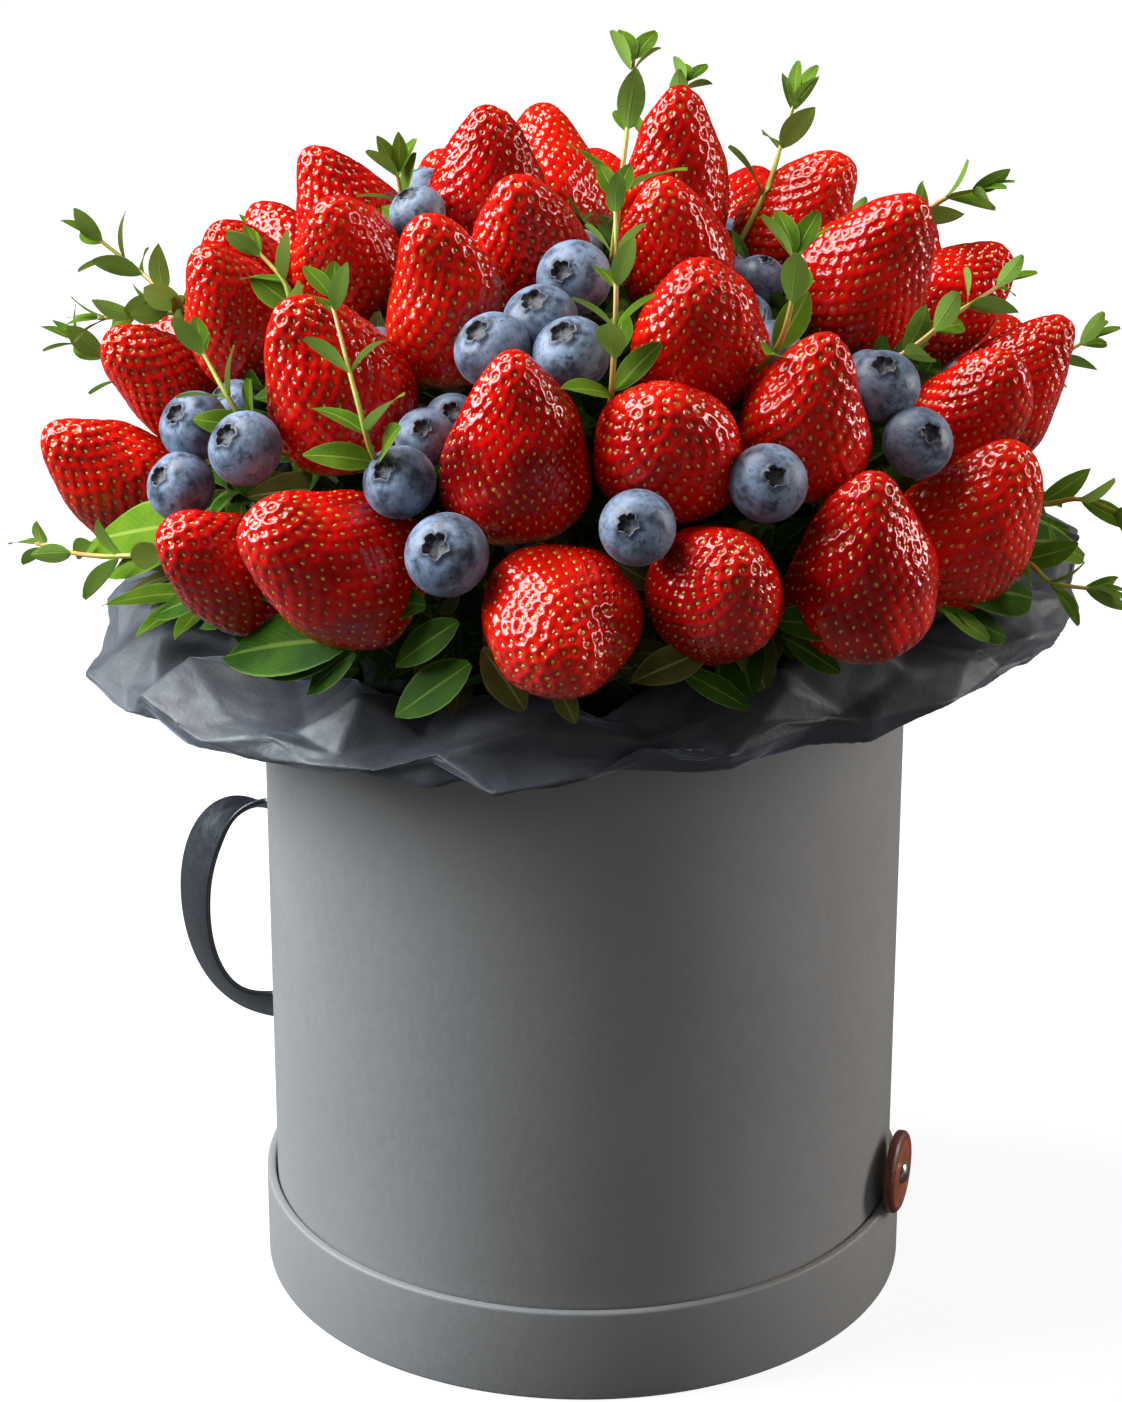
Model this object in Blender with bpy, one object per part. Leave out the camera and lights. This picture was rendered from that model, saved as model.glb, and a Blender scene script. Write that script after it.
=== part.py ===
"""Bouquet of strawberries and blueberries in a round grey hat box.

The box body stands in its own upturned lid. A ring of black tissue paper is folded out
over the body's rim, and a low green bed fills it. Strawberries and blueberries stand on
the bed in a wide dome. A short flat strap on the box's side and a leather disc with a
metal stud low on the wall complete it.

Sizes are millimetres in this script and metres in the meshes. +Z is up, the box's axis
is the Z axis and the lid's underside is at z = 0. Azimuth is measured from +X towards
+Y, and the front of the bouquet faces -Y.
"""
import math

import bmesh
import bpy
import numpy as np
from mathutils import Vector

MM = 0.001
GAP = 0.35                      # clear air between neighbouring solids

# Hat box and the upturned lid under it
BOX_RADIUS = 90.0
BOX_TOP = 200.0
BOX_EDGE = 0.8                  # small chamfer on the body's edges
LID_OUTER = 93.1
LID_INNER = BOX_RADIUS + 0.5
LID_HEIGHT = 27.6
LID_FLOOR = 2.0
LID_EDGE = 0.9
ROUND_SEGMENTS = 60

# Tissue paper ring folded over the rim
PAPER_SEGMENTS = 48
RIM_RADIUS = 134.0              # mean reach of the paper from the axis
RIM_SPREAD = 6.5                # wider at the sides than at front and back
RIM_HEIGHT = 206.0              # mean height of the paper's outer edge
RIM_TILT = 10.0                 # the +X side stands higher
PAPER_INSIDE = 98.0
PAPER_CREASE = 2.6              # depth of the crumpled facets
PAPER_FOLDS = ((7, 0.4, 1.0), (13, 1.9, 0.8), (19, 0.2, 0.6))    # waves, phase, share

# Green bed inside the paper and the dome that the berries follow
DOME_CENTRE = 222.0
BED_CENTRE = 224.0
BED_RADIUS = 103.0
BED_RISE = 70.0
BED_NECK = 96.5               # narrower inside the paper
BED_SHOULDER = 8.0             # height of the widest part over the bed's centre
BED_HOLLOW = 0.035             # share of the radius that the leaves' hollows take
BED_SEGMENTS = 32
BED_STEPS = 6
SHELL_RADIUS = 130.0            # berry centres lie on this half ellipsoid
SHELL_RISE = 96.0

# Strap handle on the box's side
STRAP_WIDTH = 18.0
STRAP_THICK = 1.6
STRAP_AZIMUTH = 173.6
STRAP_TOP = 137.0
STRAP_BOTTOM = 69.0
STRAP_REACH = 24.0
STRAP_STATIONS = 25
STRAP_TURN_MIDDLE = 27.0        # degrees the band is turned about Z at its middle
STRAP_TURN_END = 13.0
STRAP_ROLL_END = 24.0           # degrees the near edge is raised at the two ends

# Leather disc with its stud
DISC_AZIMUTH = -18.0
DISC_HEIGHT = 37.0
DISC_RADIUS = 12.0
DISC_THICK = 3.2
STUD_RADIUS = 3.0
STUD_THICK = 1.4

# Strawberries: azimuth and polar angle of the place on the dome, azimuth and polar
# angle that the tip points to, length, width and taper in per cent.
STRAWBERRIES = {
    "crown": (
        (153, 13, -80, 15, 45, 35, 60), (-115, 19, -115, 30, 42, 31, 55),
        (-55, 18, -110, 30, 42, 30, 50), (40, 14, -70, 5, 50, 32, 60),
        (23, 30, -25, 35, 42, 31, 50), (100, 28, 100, 35, 44, 31, 55)),
    "upper": (
        (-123, 31, -140, 15, 46, 34, 60), (-168, 30, -100, 35, 42, 31, 55),
        (153, 35, -170, 25, 45, 33, 60), (87, 45, 90, 55, 42, 30, 55),
        (60, 47, 80, 60, 42, 29, 55), (-14, 36, -20, 30, 48, 36, 55),
        (-69, 37, -95, 30, 46, 34, 45)),
    "middle": (
        (-131, 46, -155, 25, 48, 37, 55), (-174, 47, -140, 30, 44, 31, 55),
        (163, 47, -150, 35, 42, 28, 55), (142, 53, 140, 45, 44, 30, 55),
        (11, 53, 10, 55, 44, 30, 45), (-57, 51, -60, 15, 47, 33, 60),
        (-79, 53, -95, 45, 42, 37, 35), (-100, 53, -105, 15, 50, 38, 60)),
    "lower": (
        (-179, 78, -165, 45, 48, 33, 60), (176, 66, -160, 45, 42, 27, 45),
        (-138, 77, -135, 55, 44, 30, 50), (-121, 72, -150, 60, 52, 40, 50),
        (-94, 76, -95, 100, 46, 38, 40), (-75, 73, -75, 45, 42, 34, 45),
        (-56, 72, -70, 15, 52, 39, 60), (-37, 73, -20, 35, 50, 36, 55),
        (-24, 59, -45, 40, 42, 29, 45), (5, 64, 0, 35, 46, 30, 55)),
    "back": (
        (36, 55, 40, 45, 46, 33, 55), (112, 50, 110, 45, 46, 34, 60),
        (30, 76, 35, 60, 48, 36, 55), (55, 74, 50, 55, 50, 36, 60),
        (79, 76, 85, 65, 46, 35, 50), (102, 73, 100, 55, 50, 37, 55),
        (126, 76, 130, 65, 47, 34, 60), (151, 74, 155, 55, 48, 35, 55)),
}

# Blueberries: azimuth and polar angle of the place, azimuth and polar angle that the
# crown faces, diameter and how far the berry stands out of the dome.
BLUEBERRIES = (
    (-92, 27, -105, 55, 16.4, 4), (-97, 34, -95, 25, 16.4, 2), (-92, 39, -100, 25, 16.6, 4),
    (-103, 41, -115, 40, 16.6, 3), (-112, 60, -110, 50, 15.6, 4), (-105, 68, -105, 45, 17.6, 8),
    (-83, 64, -95, 65, 16.0, 8), (-67, 60, -65, 60, 16.6, 6), (-42, 51, -70, 30, 16.0, 4),
    (-43, 59, -50, 55, 15.4, 5), (-134, 59, -120, 45, 16.2, 8), (-147, 60, -120, 45, 15.6, 6),
    (-144, 68, -130, 50, 15.4, 5))

BERRY_SEGMENTS = 12
BERRY_FULLNESS = 0.42           # lower is blunter at both ends
BERRY_RINGS = (0.03, 0.14, 0.34, 0.58, 0.80, 0.95)       # shares of length from the base
BERRY_BALLS = (0.15, 0.27, 0.39, 0.51, 0.63, 0.75, 0.87)  # balls that stand for the form
BLUE_SEGMENTS = 10
BLUE_RINGS = (-0.72, 0.0, 0.72)
CROWN_RADIUS = 0.42

SETTLE_ROUNDS = 400
SETTLE_PULL = 0.04              # share of the way back to its place in each round
SETTLE_MARGIN = 0.9

MATERIALS = {
    "grey_card": ((0.19, 0.19, 0.20), 0.65, 0.0),
    "black_paper": ((0.018, 0.018, 0.021), 0.5, 0.0),
    "leaf_green": ((0.07, 0.17, 0.03), 0.5, 0.0),
    "black_strap": ((0.02, 0.021, 0.026), 0.4, 0.0),
    "brown_leather": ((0.22, 0.05, 0.025), 0.45, 0.0),
    "bright_metal": ((0.75, 0.70, 0.62), 0.3, 1.0),
    "strawberry_red": ((0.60, 0.012, 0.010), 0.25, 0.0),
    "blueberry_blue": ((0.03, 0.045, 0.10), 0.5, 0.0),
}


def direction(azimuth, polar):
    """Unit vector from an azimuth and a polar angle in degrees."""
    a, p = math.radians(azimuth), math.radians(polar)
    return np.array((math.sin(p) * math.cos(a), math.sin(p) * math.sin(a), math.cos(p)))


def add_part(name, points, faces, slot):
    """Make one closed object from points in millimetres and join it to the collection."""
    mesh = bpy.data.meshes.new(name)
    bm = bmesh.new()
    verts = [bm.verts.new([float(c) * MM for c in p]) for p in points]
    for face in faces:
        bm.faces.new([verts[i] for i in face])
    bmesh.ops.recalc_face_normals(bm, faces=bm.faces)
    bm.to_mesh(mesh)
    bm.free()
    mesh.materials.append(bpy.data.materials[slot])
    obj = bpy.data.objects.new(name, mesh)
    bpy.data.collections[COLLECTION].objects.link(obj)
    return obj


def turned(profile, segments, place=None):
    """Points and faces of a solid turned about an axis.

    The profile is a list of (radius, height) from the foot to the top. A radius of zero
    is a pole. A profile without poles closes on itself.
    """
    place = place or (lambda r, a, h: (r * math.cos(a), r * math.sin(a), h))
    points, rows = [], []
    for radius, height in profile:
        if radius == 0:
            rows.append([len(points)] * segments)
            points.append(place(0.0, 0.0, height))
        else:
            rows.append(list(range(len(points), len(points) + segments)))
            points += [place(radius, 2 * math.pi * k / segments, height)
                       for k in range(segments)]
    closed = all(radius for radius, _ in profile)
    pairs = list(zip(rows, rows[1:])) + ([(rows[-1], rows[0])] if closed else [])
    return points, stitched(pairs, segments)


def stitched(pairs, segments):
    """Faces between pairs of rings, with triangles where a ring is a single pole."""
    faces = []
    for low, high in pairs:
        for k in range(segments):
            n = (k + 1) % segments
            corners = [low[k], low[n], high[n], high[k]]
            faces.append(list(dict.fromkeys(corners)))
    return faces


def along(origin, axis, side=(0.0, 0.0, 1.0)):
    """Placing function that turns a profile about any axis through the origin."""
    axis = Vector(axis).normalized()
    across = Vector(side).cross(axis)
    if across.length < 0.1:
        across = Vector((1.0, 0.0, 0.0)).cross(axis)
    across.normalize()
    third = axis.cross(across)
    origin = Vector(origin)
    return lambda r, a, h: origin + axis * h + across * (r * math.cos(a)) \
        + third * (r * math.sin(a))


def chamfered(radius, low, high, edge):
    """Profile of a plain round block with chamfered edges."""
    return [(0, low), (radius - edge, low), (radius, low + edge),
            (radius, high - edge), (radius - edge, high), (0, high)]


def rim(azimuth):
    """Reach and height of the paper's outer edge at an azimuth in radians."""
    reach = RIM_RADIUS + RIM_SPREAD * math.cos(2 * azimuth)
    return reach, RIM_HEIGHT + RIM_TILT * math.cos(azimuth)


def crumple(azimuth, shift):
    """Depth of the paper's creases, between 0 and PAPER_CREASE."""
    total = sum(share for _, _, share in PAPER_FOLDS)
    wave = sum(share * abs(math.sin(0.5 * (count * azimuth + phase + shift * count)))
               for count, phase, share in PAPER_FOLDS)
    return PAPER_CREASE * wave / total


def paper_collar():
    """Puffed ring of paper from the box's wall out to the rim and back inside."""
    points, rings = [], []
    for k in range(PAPER_SEGMENTS):
        a = 2 * math.pi * k / PAPER_SEGMENTS
        reach, edge = rim(a)
        wave, other = crumple(a, 0.0), crumple(a, 1.7)
        top = max(edge + 9.0, BOX_TOP + 6.0)
        profile = (
            (BOX_RADIUS + GAP, min(edge - 14.0, BOX_TOP - 8.0)), (reach - 22.0, edge - 12.0 + other),
            (reach - 6.0 - wave, edge - 7.0), (reach - wave, edge - other),
            (reach - 4.0 - other, edge + 6.0 - wave),
            (reach - 14.0, edge + 8.5 - other), (PAPER_INSIDE + 8.0, top - wave),
            (PAPER_INSIDE + 1.0, top - 1.0), (PAPER_INSIDE, BOX_TOP + 1.5),
            (BOX_RADIUS + GAP, BOX_TOP - 1.0))
        rings.append(list(range(len(points), len(points) + len(profile))))
        points += [(r * math.cos(a), r * math.sin(a), z) for r, z in profile]
    count = len(rings[0])
    faces = []
    for low, high in zip(rings, rings[1:] + rings[:1]):
        for k in range(count):
            n = (k + 1) % count
            faces.append([low[k], low[n], high[n], high[k]])
    add_part("paper_collar", points, faces, "black_paper")


def greenery_bed():
    """Low dome that fills the paper ring and carries the berries."""
    foot = BOX_TOP + GAP
    profile = [(0, foot), (BOX_RADIUS, foot), (BED_NECK - 1.5, foot + 6.0),
               (BED_NECK, BED_CENTRE + 2.0)]
    first = math.asin(BED_SHOULDER / BED_RISE)
    for k in range(BED_STEPS):
        angle = first + (0.5 * math.pi - first) * k / BED_STEPS
        profile.append((BED_RADIUS * math.cos(angle), BED_CENTRE + BED_RISE * math.sin(angle)))
    profile.append((0, BED_CENTRE + BED_RISE))

    def place(r, a, h):
        hollow = 0.0
        if h > BED_CENTRE + BED_SHOULDER - 1.0:
            hollow = BED_HOLLOW * abs(math.sin(4.0 * a + 0.11 * h) * math.cos(3.0 * a - 0.07 * h))
        return (r * math.cos(a) * (1.0 - hollow), r * math.sin(a) * (1.0 - hollow),
                h - hollow * (h - BED_CENTRE))

    add_part("greenery_bed", *turned(profile, BED_SEGMENTS, place), "leaf_green")


def strap_handle():
    """Flat band that leaves the wall, turns towards the front and comes back."""
    half_w, half_t = 0.5 * STRAP_WIDTH, 0.5 * STRAP_THICK
    start = direction(STRAP_AZIMUTH, 90) * BOX_RADIUS
    out = direction(STRAP_AZIMUTH, 90)
    middle = 0.5 * (STRAP_TOP + STRAP_BOTTOM)
    rise = 0.5 * (STRAP_TOP - STRAP_BOTTOM)
    stations = []
    for k in range(STRAP_STATIONS):
        s = 2.0 * k / (STRAP_STATIONS - 1) - 1.0           # -1 at the foot, +1 at the top
        angle = 0.5 * math.pi * (1.0 + s)
        bulge = math.sin(angle) ** 0.75 if 0 < angle < math.pi else 0.0
        centre = start + out * (STRAP_REACH * bulge)
        centre[2] = middle - rise * math.cos(angle) * (1.0 - 0.06 * abs(math.cos(angle)))
        share = abs(s) ** 2
        turn = math.radians(STRAP_TURN_MIDDLE + share * (STRAP_TURN_END - STRAP_TURN_MIDDLE))
        roll = math.radians(STRAP_ROLL_END) * abs(s) ** 3
        width = np.array((math.sin(turn) * math.cos(roll), -math.cos(turn) * math.cos(roll),
                          math.sin(roll)))
        stations.append((centre, width))
    points, rings = [], []
    for k, (centre, width) in enumerate(stations):
        before, after = stations[max(k - 1, 0)][0], stations[min(k + 1, len(stations) - 1)][0]
        run = (after - before) / np.linalg.norm(after - before)
        if k in (0, len(stations) - 1):
            run = np.array((0.0, 0.0, 0.0)) + out * (1.0 if k == 0 else -1.0)
        face = np.cross(run, width)
        face /= np.linalg.norm(face)
        width = np.cross(face, run)
        corners = [centre + width * half_w * i + face * half_t * j
                   for i, j in ((1, 1), (-1, 1), (-1, -1), (1, -1))]
        if k in (0, len(stations) - 1):
            short = BOX_RADIUS + GAP + 0.1 - min(math.hypot(c[0], c[1]) for c in corners)
            corners = [c + out * short for c in corners]
        rings.append(list(range(len(points), len(points) + 4)))
        points += corners
    faces = [rings[0], rings[-1]]
    for low, high in zip(rings, rings[1:]):
        faces += [[low[k], low[(k + 1) % 4], high[(k + 1) % 4], high[k]] for k in range(4)]
    add_part("strap_handle", points, faces, "black_strap")


def disc_and_stud():
    """Leather disc that lies against the lid's wall, and the stud on its face."""
    out = direction(DISC_AZIMUTH, 90)
    back = LID_OUTER + GAP
    place = along((0, 0, DISC_HEIGHT), out)
    disc = [(0, back), (DISC_RADIUS, back), (DISC_RADIUS, back + DISC_THICK - 0.9),
            (DISC_RADIUS - 1.1, back + DISC_THICK), (0, back + DISC_THICK)]
    add_part("leather_disc", *turned(disc, 24, place), "brown_leather")
    face = back + DISC_THICK + GAP
    stud = [(0, face), (STUD_RADIUS, face), (STUD_RADIUS, face + 0.4),
            (STUD_RADIUS * 0.72, face + STUD_THICK * 0.85), (0, face + STUD_THICK)]
    add_part("disc_stud", *turned(stud, 12, place), "bright_metal")


def berry_profile(share, taper):
    """Radius of a strawberry, as a share of its half width, along its length."""
    def raw(u):
        return max(u * (1.0 - u), 0.0) ** BERRY_FULLNESS * (1.0 - taper * u)
    widest = max(raw(k / 60.0) for k in range(61))
    return raw(share) / widest


def shell_place(azimuth, polar, out=0.0):
    """Point on the half ellipsoid that the berries follow."""
    d = direction(azimuth, polar)
    return np.array((0.0, 0.0, DOME_CENTRE)) + d * np.array(
        (SHELL_RADIUS + out, SHELL_RADIUS + out, SHELL_RISE + out))


def all_berries():
    """Every berry as a dictionary with its place, axis, sizes and stand-in balls."""
    berries = []
    for ring, rows in STRAWBERRIES.items():
        for number, (az, polar, tip_az, tip_polar, length, width, taper) in enumerate(rows, 1):
            axis, taper = direction(tip_az, tip_polar), taper / 100.0
            balls = []
            for share in BERRY_BALLS:
                radius = 0.5 * width * berry_profile(share, taper)
                end = length * min(share, 1.0 - share)
                radius = min(radius, end + 0.18 * radius)
                balls.append((axis * length * (share - 0.5), radius))
            berries.append({"name": f"strawberry_{ring}_{number}", "axis": axis,
                            "home": shell_place(az, polar), "length": length,
                            "width": width, "taper": taper, "balls": balls})
    for number, (az, polar, crown_az, crown_polar, size, out) in enumerate(BLUEBERRIES, 1):
        berries.append({"name": f"blueberry_{number:02d}", "size": size,
                        "axis": direction(crown_az, crown_polar),
                        "home": shell_place(az, polar, out),
                        "balls": [(np.zeros(3), 0.5 * size)]})
    return berries


def push_off_bed(centre, radius):
    """Push that lifts a ball out of the green bed."""
    semi = np.array((BED_RADIUS, BED_RADIUS, BED_RISE)) + radius + SETTLE_MARGIN
    offset = centre - np.array((0.0, 0.0, BED_CENTRE))
    level = np.linalg.norm(offset / semi)
    if level >= 1.0:
        return np.zeros(3)
    normal = offset / semi ** 2
    normal /= np.linalg.norm(normal)
    return normal * (1.0 - level) * BED_RISE


def push_off_paper(centre, radius):
    """Push that lifts a ball off the folded paper."""
    reach, edge = rim(math.atan2(centre[1], centre[0]))
    r, z = math.hypot(centre[0], centre[1]), centre[2]
    spine = ((PAPER_INSIDE + 7.0, edge + 2.5), (reach - 14.0, edge + 2.0), (reach - 6.0, edge))
    push = np.zeros(3)
    for (r0, z0), (r1, z1) in zip(spine, spine[1:]):
        share = ((r - r0) * (r1 - r0) + (z - z0) * (z1 - z0)) / ((r1 - r0) ** 2 + (z1 - z0) ** 2)
        share = min(max(share, 0.0), 1.0)
        dr, dz = r - r0 - share * (r1 - r0), z - z0 - share * (z1 - z0)
        away = math.hypot(dr, dz)
        deep = radius + 7.5 + SETTLE_MARGIN - away
        if deep > np.linalg.norm(push):
            push = np.array((centre[0] / r * dr, centre[1] / r * dr, abs(dz))) * deep / away
    return push


def settle(berries):
    """Move the berries apart until none touches another, the bed or the paper."""
    owner = np.array([i for i, b in enumerate(berries) for _ in b["balls"]])
    offset = np.array([ball[0] for b in berries for ball in b["balls"]])
    radius = np.array([ball[1] for b in berries for ball in b["balls"]])
    home = np.array([b["home"] for b in berries])
    place = home.copy()
    apart = radius[:, None] + radius[None, :] + SETTLE_MARGIN
    apart[owner[:, None] == owner[None, :]] = -1.0
    for turn in range(SETTLE_ROUNDS):
        centre = place[owner] + offset
        gap = centre[:, None, :] - centre[None, :, :]
        away = np.maximum(np.linalg.norm(gap, axis=2), 1e-6)
        deep = np.maximum(apart - away, 0.0)
        move = np.zeros_like(place)
        for i in range(len(berries)):
            mine = owner == i
            rows = deep[mine]
            for j in sorted(set(owner[np.nonzero(rows.max(axis=0))[0]])):
                block = np.ix_(mine, owner == j)
                a, b = np.unravel_index(np.argmax(deep[block]), deep[block].shape)
                push = gap[block][a, b] / away[block][a, b] * deep[block][a, b]
                move[i] += 0.45 * push
            walls = [push(centre[k], radius[k]) for k in np.nonzero(mine)[0]
                     for push in (push_off_bed, push_off_paper)]
            move[i] += max(walls, key=lambda w: float(w @ w))
        if turn < 0.6 * SETTLE_ROUNDS:
            move += SETTLE_PULL * (home - place)
        if turn > 0.6 * SETTLE_ROUNDS and np.abs(move).max() < 0.02:
            break
        place += move
    for berry, point in zip(berries, place):
        berry["place"] = point


def add_strawberry(berry):
    """One strawberry with its base on the bed's side and its tip outside."""
    length, half = berry["length"], 0.5 * berry["width"]
    profile = [(0, -0.5 * length)]
    profile += [(half * berry_profile(u, berry["taper"]), length * (u - 0.5))
                for u in BERRY_RINGS]
    profile.append((0, 0.5 * length))
    place = along(berry["place"], berry["axis"])
    add_part(berry["name"], *turned(profile, BERRY_SEGMENTS, place), "strawberry_red")


def add_blueberry(berry):
    """One blueberry with the flat of its crown at the outer end."""
    half = 0.5 * berry["size"]
    profile = [(0, -half)] + [(half * math.sqrt(1.0 - h * h), half * h) for h in BLUE_RINGS]
    flat = half * math.sqrt(1.0 - CROWN_RADIUS ** 2)
    profile += [(half * CROWN_RADIUS, flat), (0, flat)]
    place = along(berry["place"], berry["axis"])
    add_part(berry["name"], *turned(profile, BLUE_SEGMENTS, place), "blueberry_blue")


COLLECTION = "fruit_bouquet_box"


def main():
    for obj in list(bpy.data.objects):
        bpy.data.objects.remove(obj, do_unlink=True)
    bpy.context.scene.collection.children.link(bpy.data.collections.new(COLLECTION))
    for name, (colour, roughness, metallic) in MATERIALS.items():
        material = bpy.data.materials.new(name)
        material.use_nodes = True
        shader = material.node_tree.nodes["Principled BSDF"]
        shader.inputs["Base Color"].default_value = (*colour, 1.0)
        shader.inputs["Roughness"].default_value = roughness
        shader.inputs["Metallic"].default_value = metallic

    body = chamfered(BOX_RADIUS, LID_FLOOR + GAP, BOX_TOP, BOX_EDGE)
    add_part("box_body", *turned(body, ROUND_SEGMENTS), "grey_card")
    lid = [(0, 0), (LID_OUTER - LID_EDGE, 0), (LID_OUTER, LID_EDGE),
           (LID_OUTER, LID_HEIGHT - LID_EDGE), (LID_OUTER - LID_EDGE, LID_HEIGHT),
           (LID_INNER, LID_HEIGHT), (LID_INNER, LID_FLOOR), (0, LID_FLOOR)]
    add_part("box_lid", *turned(lid, ROUND_SEGMENTS), "grey_card")
    paper_collar()
    greenery_bed()
    strap_handle()
    disc_and_stud()

    berries = all_berries()
    settle(berries)
    for berry in berries:
        if "size" in berry:
            add_blueberry(berry)
        else:
            add_strawberry(berry)


main()
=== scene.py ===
"""Looks for the strawberry and blueberry bouquet in its round hat box.

Lengths are millimetres in the tables and functions here, and metres in the meshes. Each
berry's place, axis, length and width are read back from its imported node.
"""
import math

import bpy
import numpy as np
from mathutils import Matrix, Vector, noise
from mathutils.bvhtree import BVHTree
from mathutils.geometry import delaunay_2d_cdt


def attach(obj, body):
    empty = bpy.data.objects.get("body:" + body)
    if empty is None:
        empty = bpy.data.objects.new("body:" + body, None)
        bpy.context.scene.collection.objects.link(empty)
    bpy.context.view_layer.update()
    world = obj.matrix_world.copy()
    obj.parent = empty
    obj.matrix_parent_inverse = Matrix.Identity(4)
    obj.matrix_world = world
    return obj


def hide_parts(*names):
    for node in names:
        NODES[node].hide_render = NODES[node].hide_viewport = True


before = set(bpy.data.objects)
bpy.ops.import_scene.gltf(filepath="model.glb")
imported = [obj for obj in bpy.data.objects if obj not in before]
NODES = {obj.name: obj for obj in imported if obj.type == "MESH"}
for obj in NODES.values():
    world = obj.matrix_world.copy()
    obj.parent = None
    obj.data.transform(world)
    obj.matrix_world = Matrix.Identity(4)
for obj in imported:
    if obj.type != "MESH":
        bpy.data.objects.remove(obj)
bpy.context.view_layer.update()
MM = 0.001
GOLDEN = math.pi * (3.0 - math.sqrt(5.0))   # turn from one point of an even spiral to the next
UP = np.array((0.0, 0.0, 1.0))

DOME = np.array((0.0, 0.0, 224.0))          # centre of the bed of greens
BED = np.array((103.0, 103.0, 70.0))        # its half sizes
SHELL_CENTRE = np.array((0.0, 0.0, 222.0))  # the shell that the fruit's tips reach
SHELL = np.array((130.0, 130.0, 96.0))
BOX_RADIUS, BOX_TOP = 90.0, 200.0
LID_OUTER, LID_INNER, LID_HEIGHT = 93.1, 90.5, 27.6
BERRY_CELLS, CORE_CELLS = 35, 26            # grid cells along one side of a ball's six faces


# ---- small helpers

def direction(azimuth, polar):
    a, p = math.radians(azimuth), math.radians(polar)
    return np.array((math.sin(p) * math.cos(a), math.sin(p) * math.sin(a), math.cos(p)))


def around(azimuth, reach, height):
    """Point at an azimuth, a distance from the box's axis and a height."""
    return direction(azimuth, 90) * reach + UP * height


def spiral_ball(z, turn):
    """Directions from their heights and turns."""
    flat = np.sqrt(np.maximum(1 - z * z, 0))
    return np.stack((flat * np.cos(turn), flat * np.sin(turn), z), axis=-1)


def unit(v):
    v = np.asarray(v, float)
    return v / max(np.linalg.norm(v), 1e-9)


def frame_of(axis, hint=(0.0, 0.0, 1.0)):
    """Rows are two directions across the axis and the axis itself."""
    axis = unit(axis)
    side = np.cross(hint, axis)
    if np.linalg.norm(side) < 0.05:
        side = np.cross((1.0, 0.0, 0.0), axis)
    side = unit(side)
    return np.array((side, np.cross(axis, side), axis))


def add_piece(name, verts, faces, materials, slot, picks=None, **layers):
    """One mesh piece from points in millimetres, riding on the only body."""
    mesh = bpy.data.meshes.new(name)
    verts = np.asarray(verts, np.float64) * MM
    mesh.from_pydata(verts.tolist(), [], faces if isinstance(faces, list) else faces.tolist())
    for material in materials:
        mesh.materials.append(material)
    mesh.polygons.foreach_set("use_smooth", [True] * len(mesh.polygons))
    if picks is not None:
        mesh.polygons.foreach_set("material_index", picks)
    for key, values in layers.items():
        values = np.asarray(values, np.float32)
        if key == "uv":
            layer = mesh.uv_layers.new(name="UVMap")
            loops = np.empty(len(mesh.loops), np.int32)
            mesh.loops.foreach_get("vertex_index", loops)
            layer.data.foreach_set("uv", values[loops].ravel())
        else:
            mesh.attributes.new(key, "FLOAT", "POINT").data.foreach_set("value", values)
    mesh.update()
    piece = bpy.data.objects.new(name, mesh)
    bpy.context.scene.collection.objects.link(piece)
    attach(piece, "root")
    return piece


def quads(rows, columns, loop=False):
    """Faces of points laid row by row; loop joins the two ends of each row."""
    return [(i * columns + k, i * columns + (k + 1) % columns,
             (i + 1) * columns + (k + 1) % columns, (i + 1) * columns + k)
            for i in range(rows - 1) for k in range(columns - (not loop))]


class Heap:
    """Gathers many small shapes into one mesh."""

    def __init__(self):
        self.verts, self.faces, self.uv, self.extra, self.count = [], [], [], [], 0

    def add(self, verts, faces, uv=None, extra=0.0):
        self.faces += [[i + self.count for i in f] for f in faces]
        self.verts.append(np.asarray(verts, float))
        self.uv.append(np.zeros((len(verts), 2)) if uv is None else np.asarray(uv, float))
        self.extra.append(np.full(len(verts), extra))
        self.count += len(verts)

    def piece(self, name, material, slot):
        add_piece(name, np.concatenate(self.verts), self.faces, [material], slot,
                  uv=np.concatenate(self.uv), tone=np.concatenate(self.extra))


def lathe(profile, segments):
    """Turned solid from (radius, height); a radius of zero is a pole."""
    verts, rows, faces = [], [], []
    for r, z in profile:
        if r == 0:
            rows.append([len(verts)] * segments)
            verts.append((0.0, 0.0, z))
        else:
            rows.append(range(len(verts), len(verts) + segments))
            verts += [(r * math.cos(2 * math.pi * k / segments),
                       r * math.sin(2 * math.pi * k / segments), z) for k in range(segments)]
    for low, high in zip(rows, rows[1:]):
        for k in range(segments):
            n = (k + 1) % segments
            faces.append(list(dict.fromkeys((low[k], low[n], high[n], high[k]))))
    return np.array(verts), faces


def rounded(points, radius, steps=4):
    """Profile with its inner corners rounded off by short arcs."""
    points = [np.array(p, float) for p in points]
    out = [points[0]]
    for before, here, after in zip(points, points[1:], points[2:]):
        a, b = unit(before - here), unit(after - here)
        reach = min(radius, 0.45 * np.linalg.norm(before - here),
                    0.45 * np.linalg.norm(after - here))
        for k in range(steps + 1):
            t = k / steps
            out.append((1 - t) ** 2 * (here + a * reach) + 2 * t * (1 - t) * here
                       + t ** 2 * (here + b * reach))
    out.append(points[-1])
    return [tuple(p) for p in out]


# ---- materials

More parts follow.
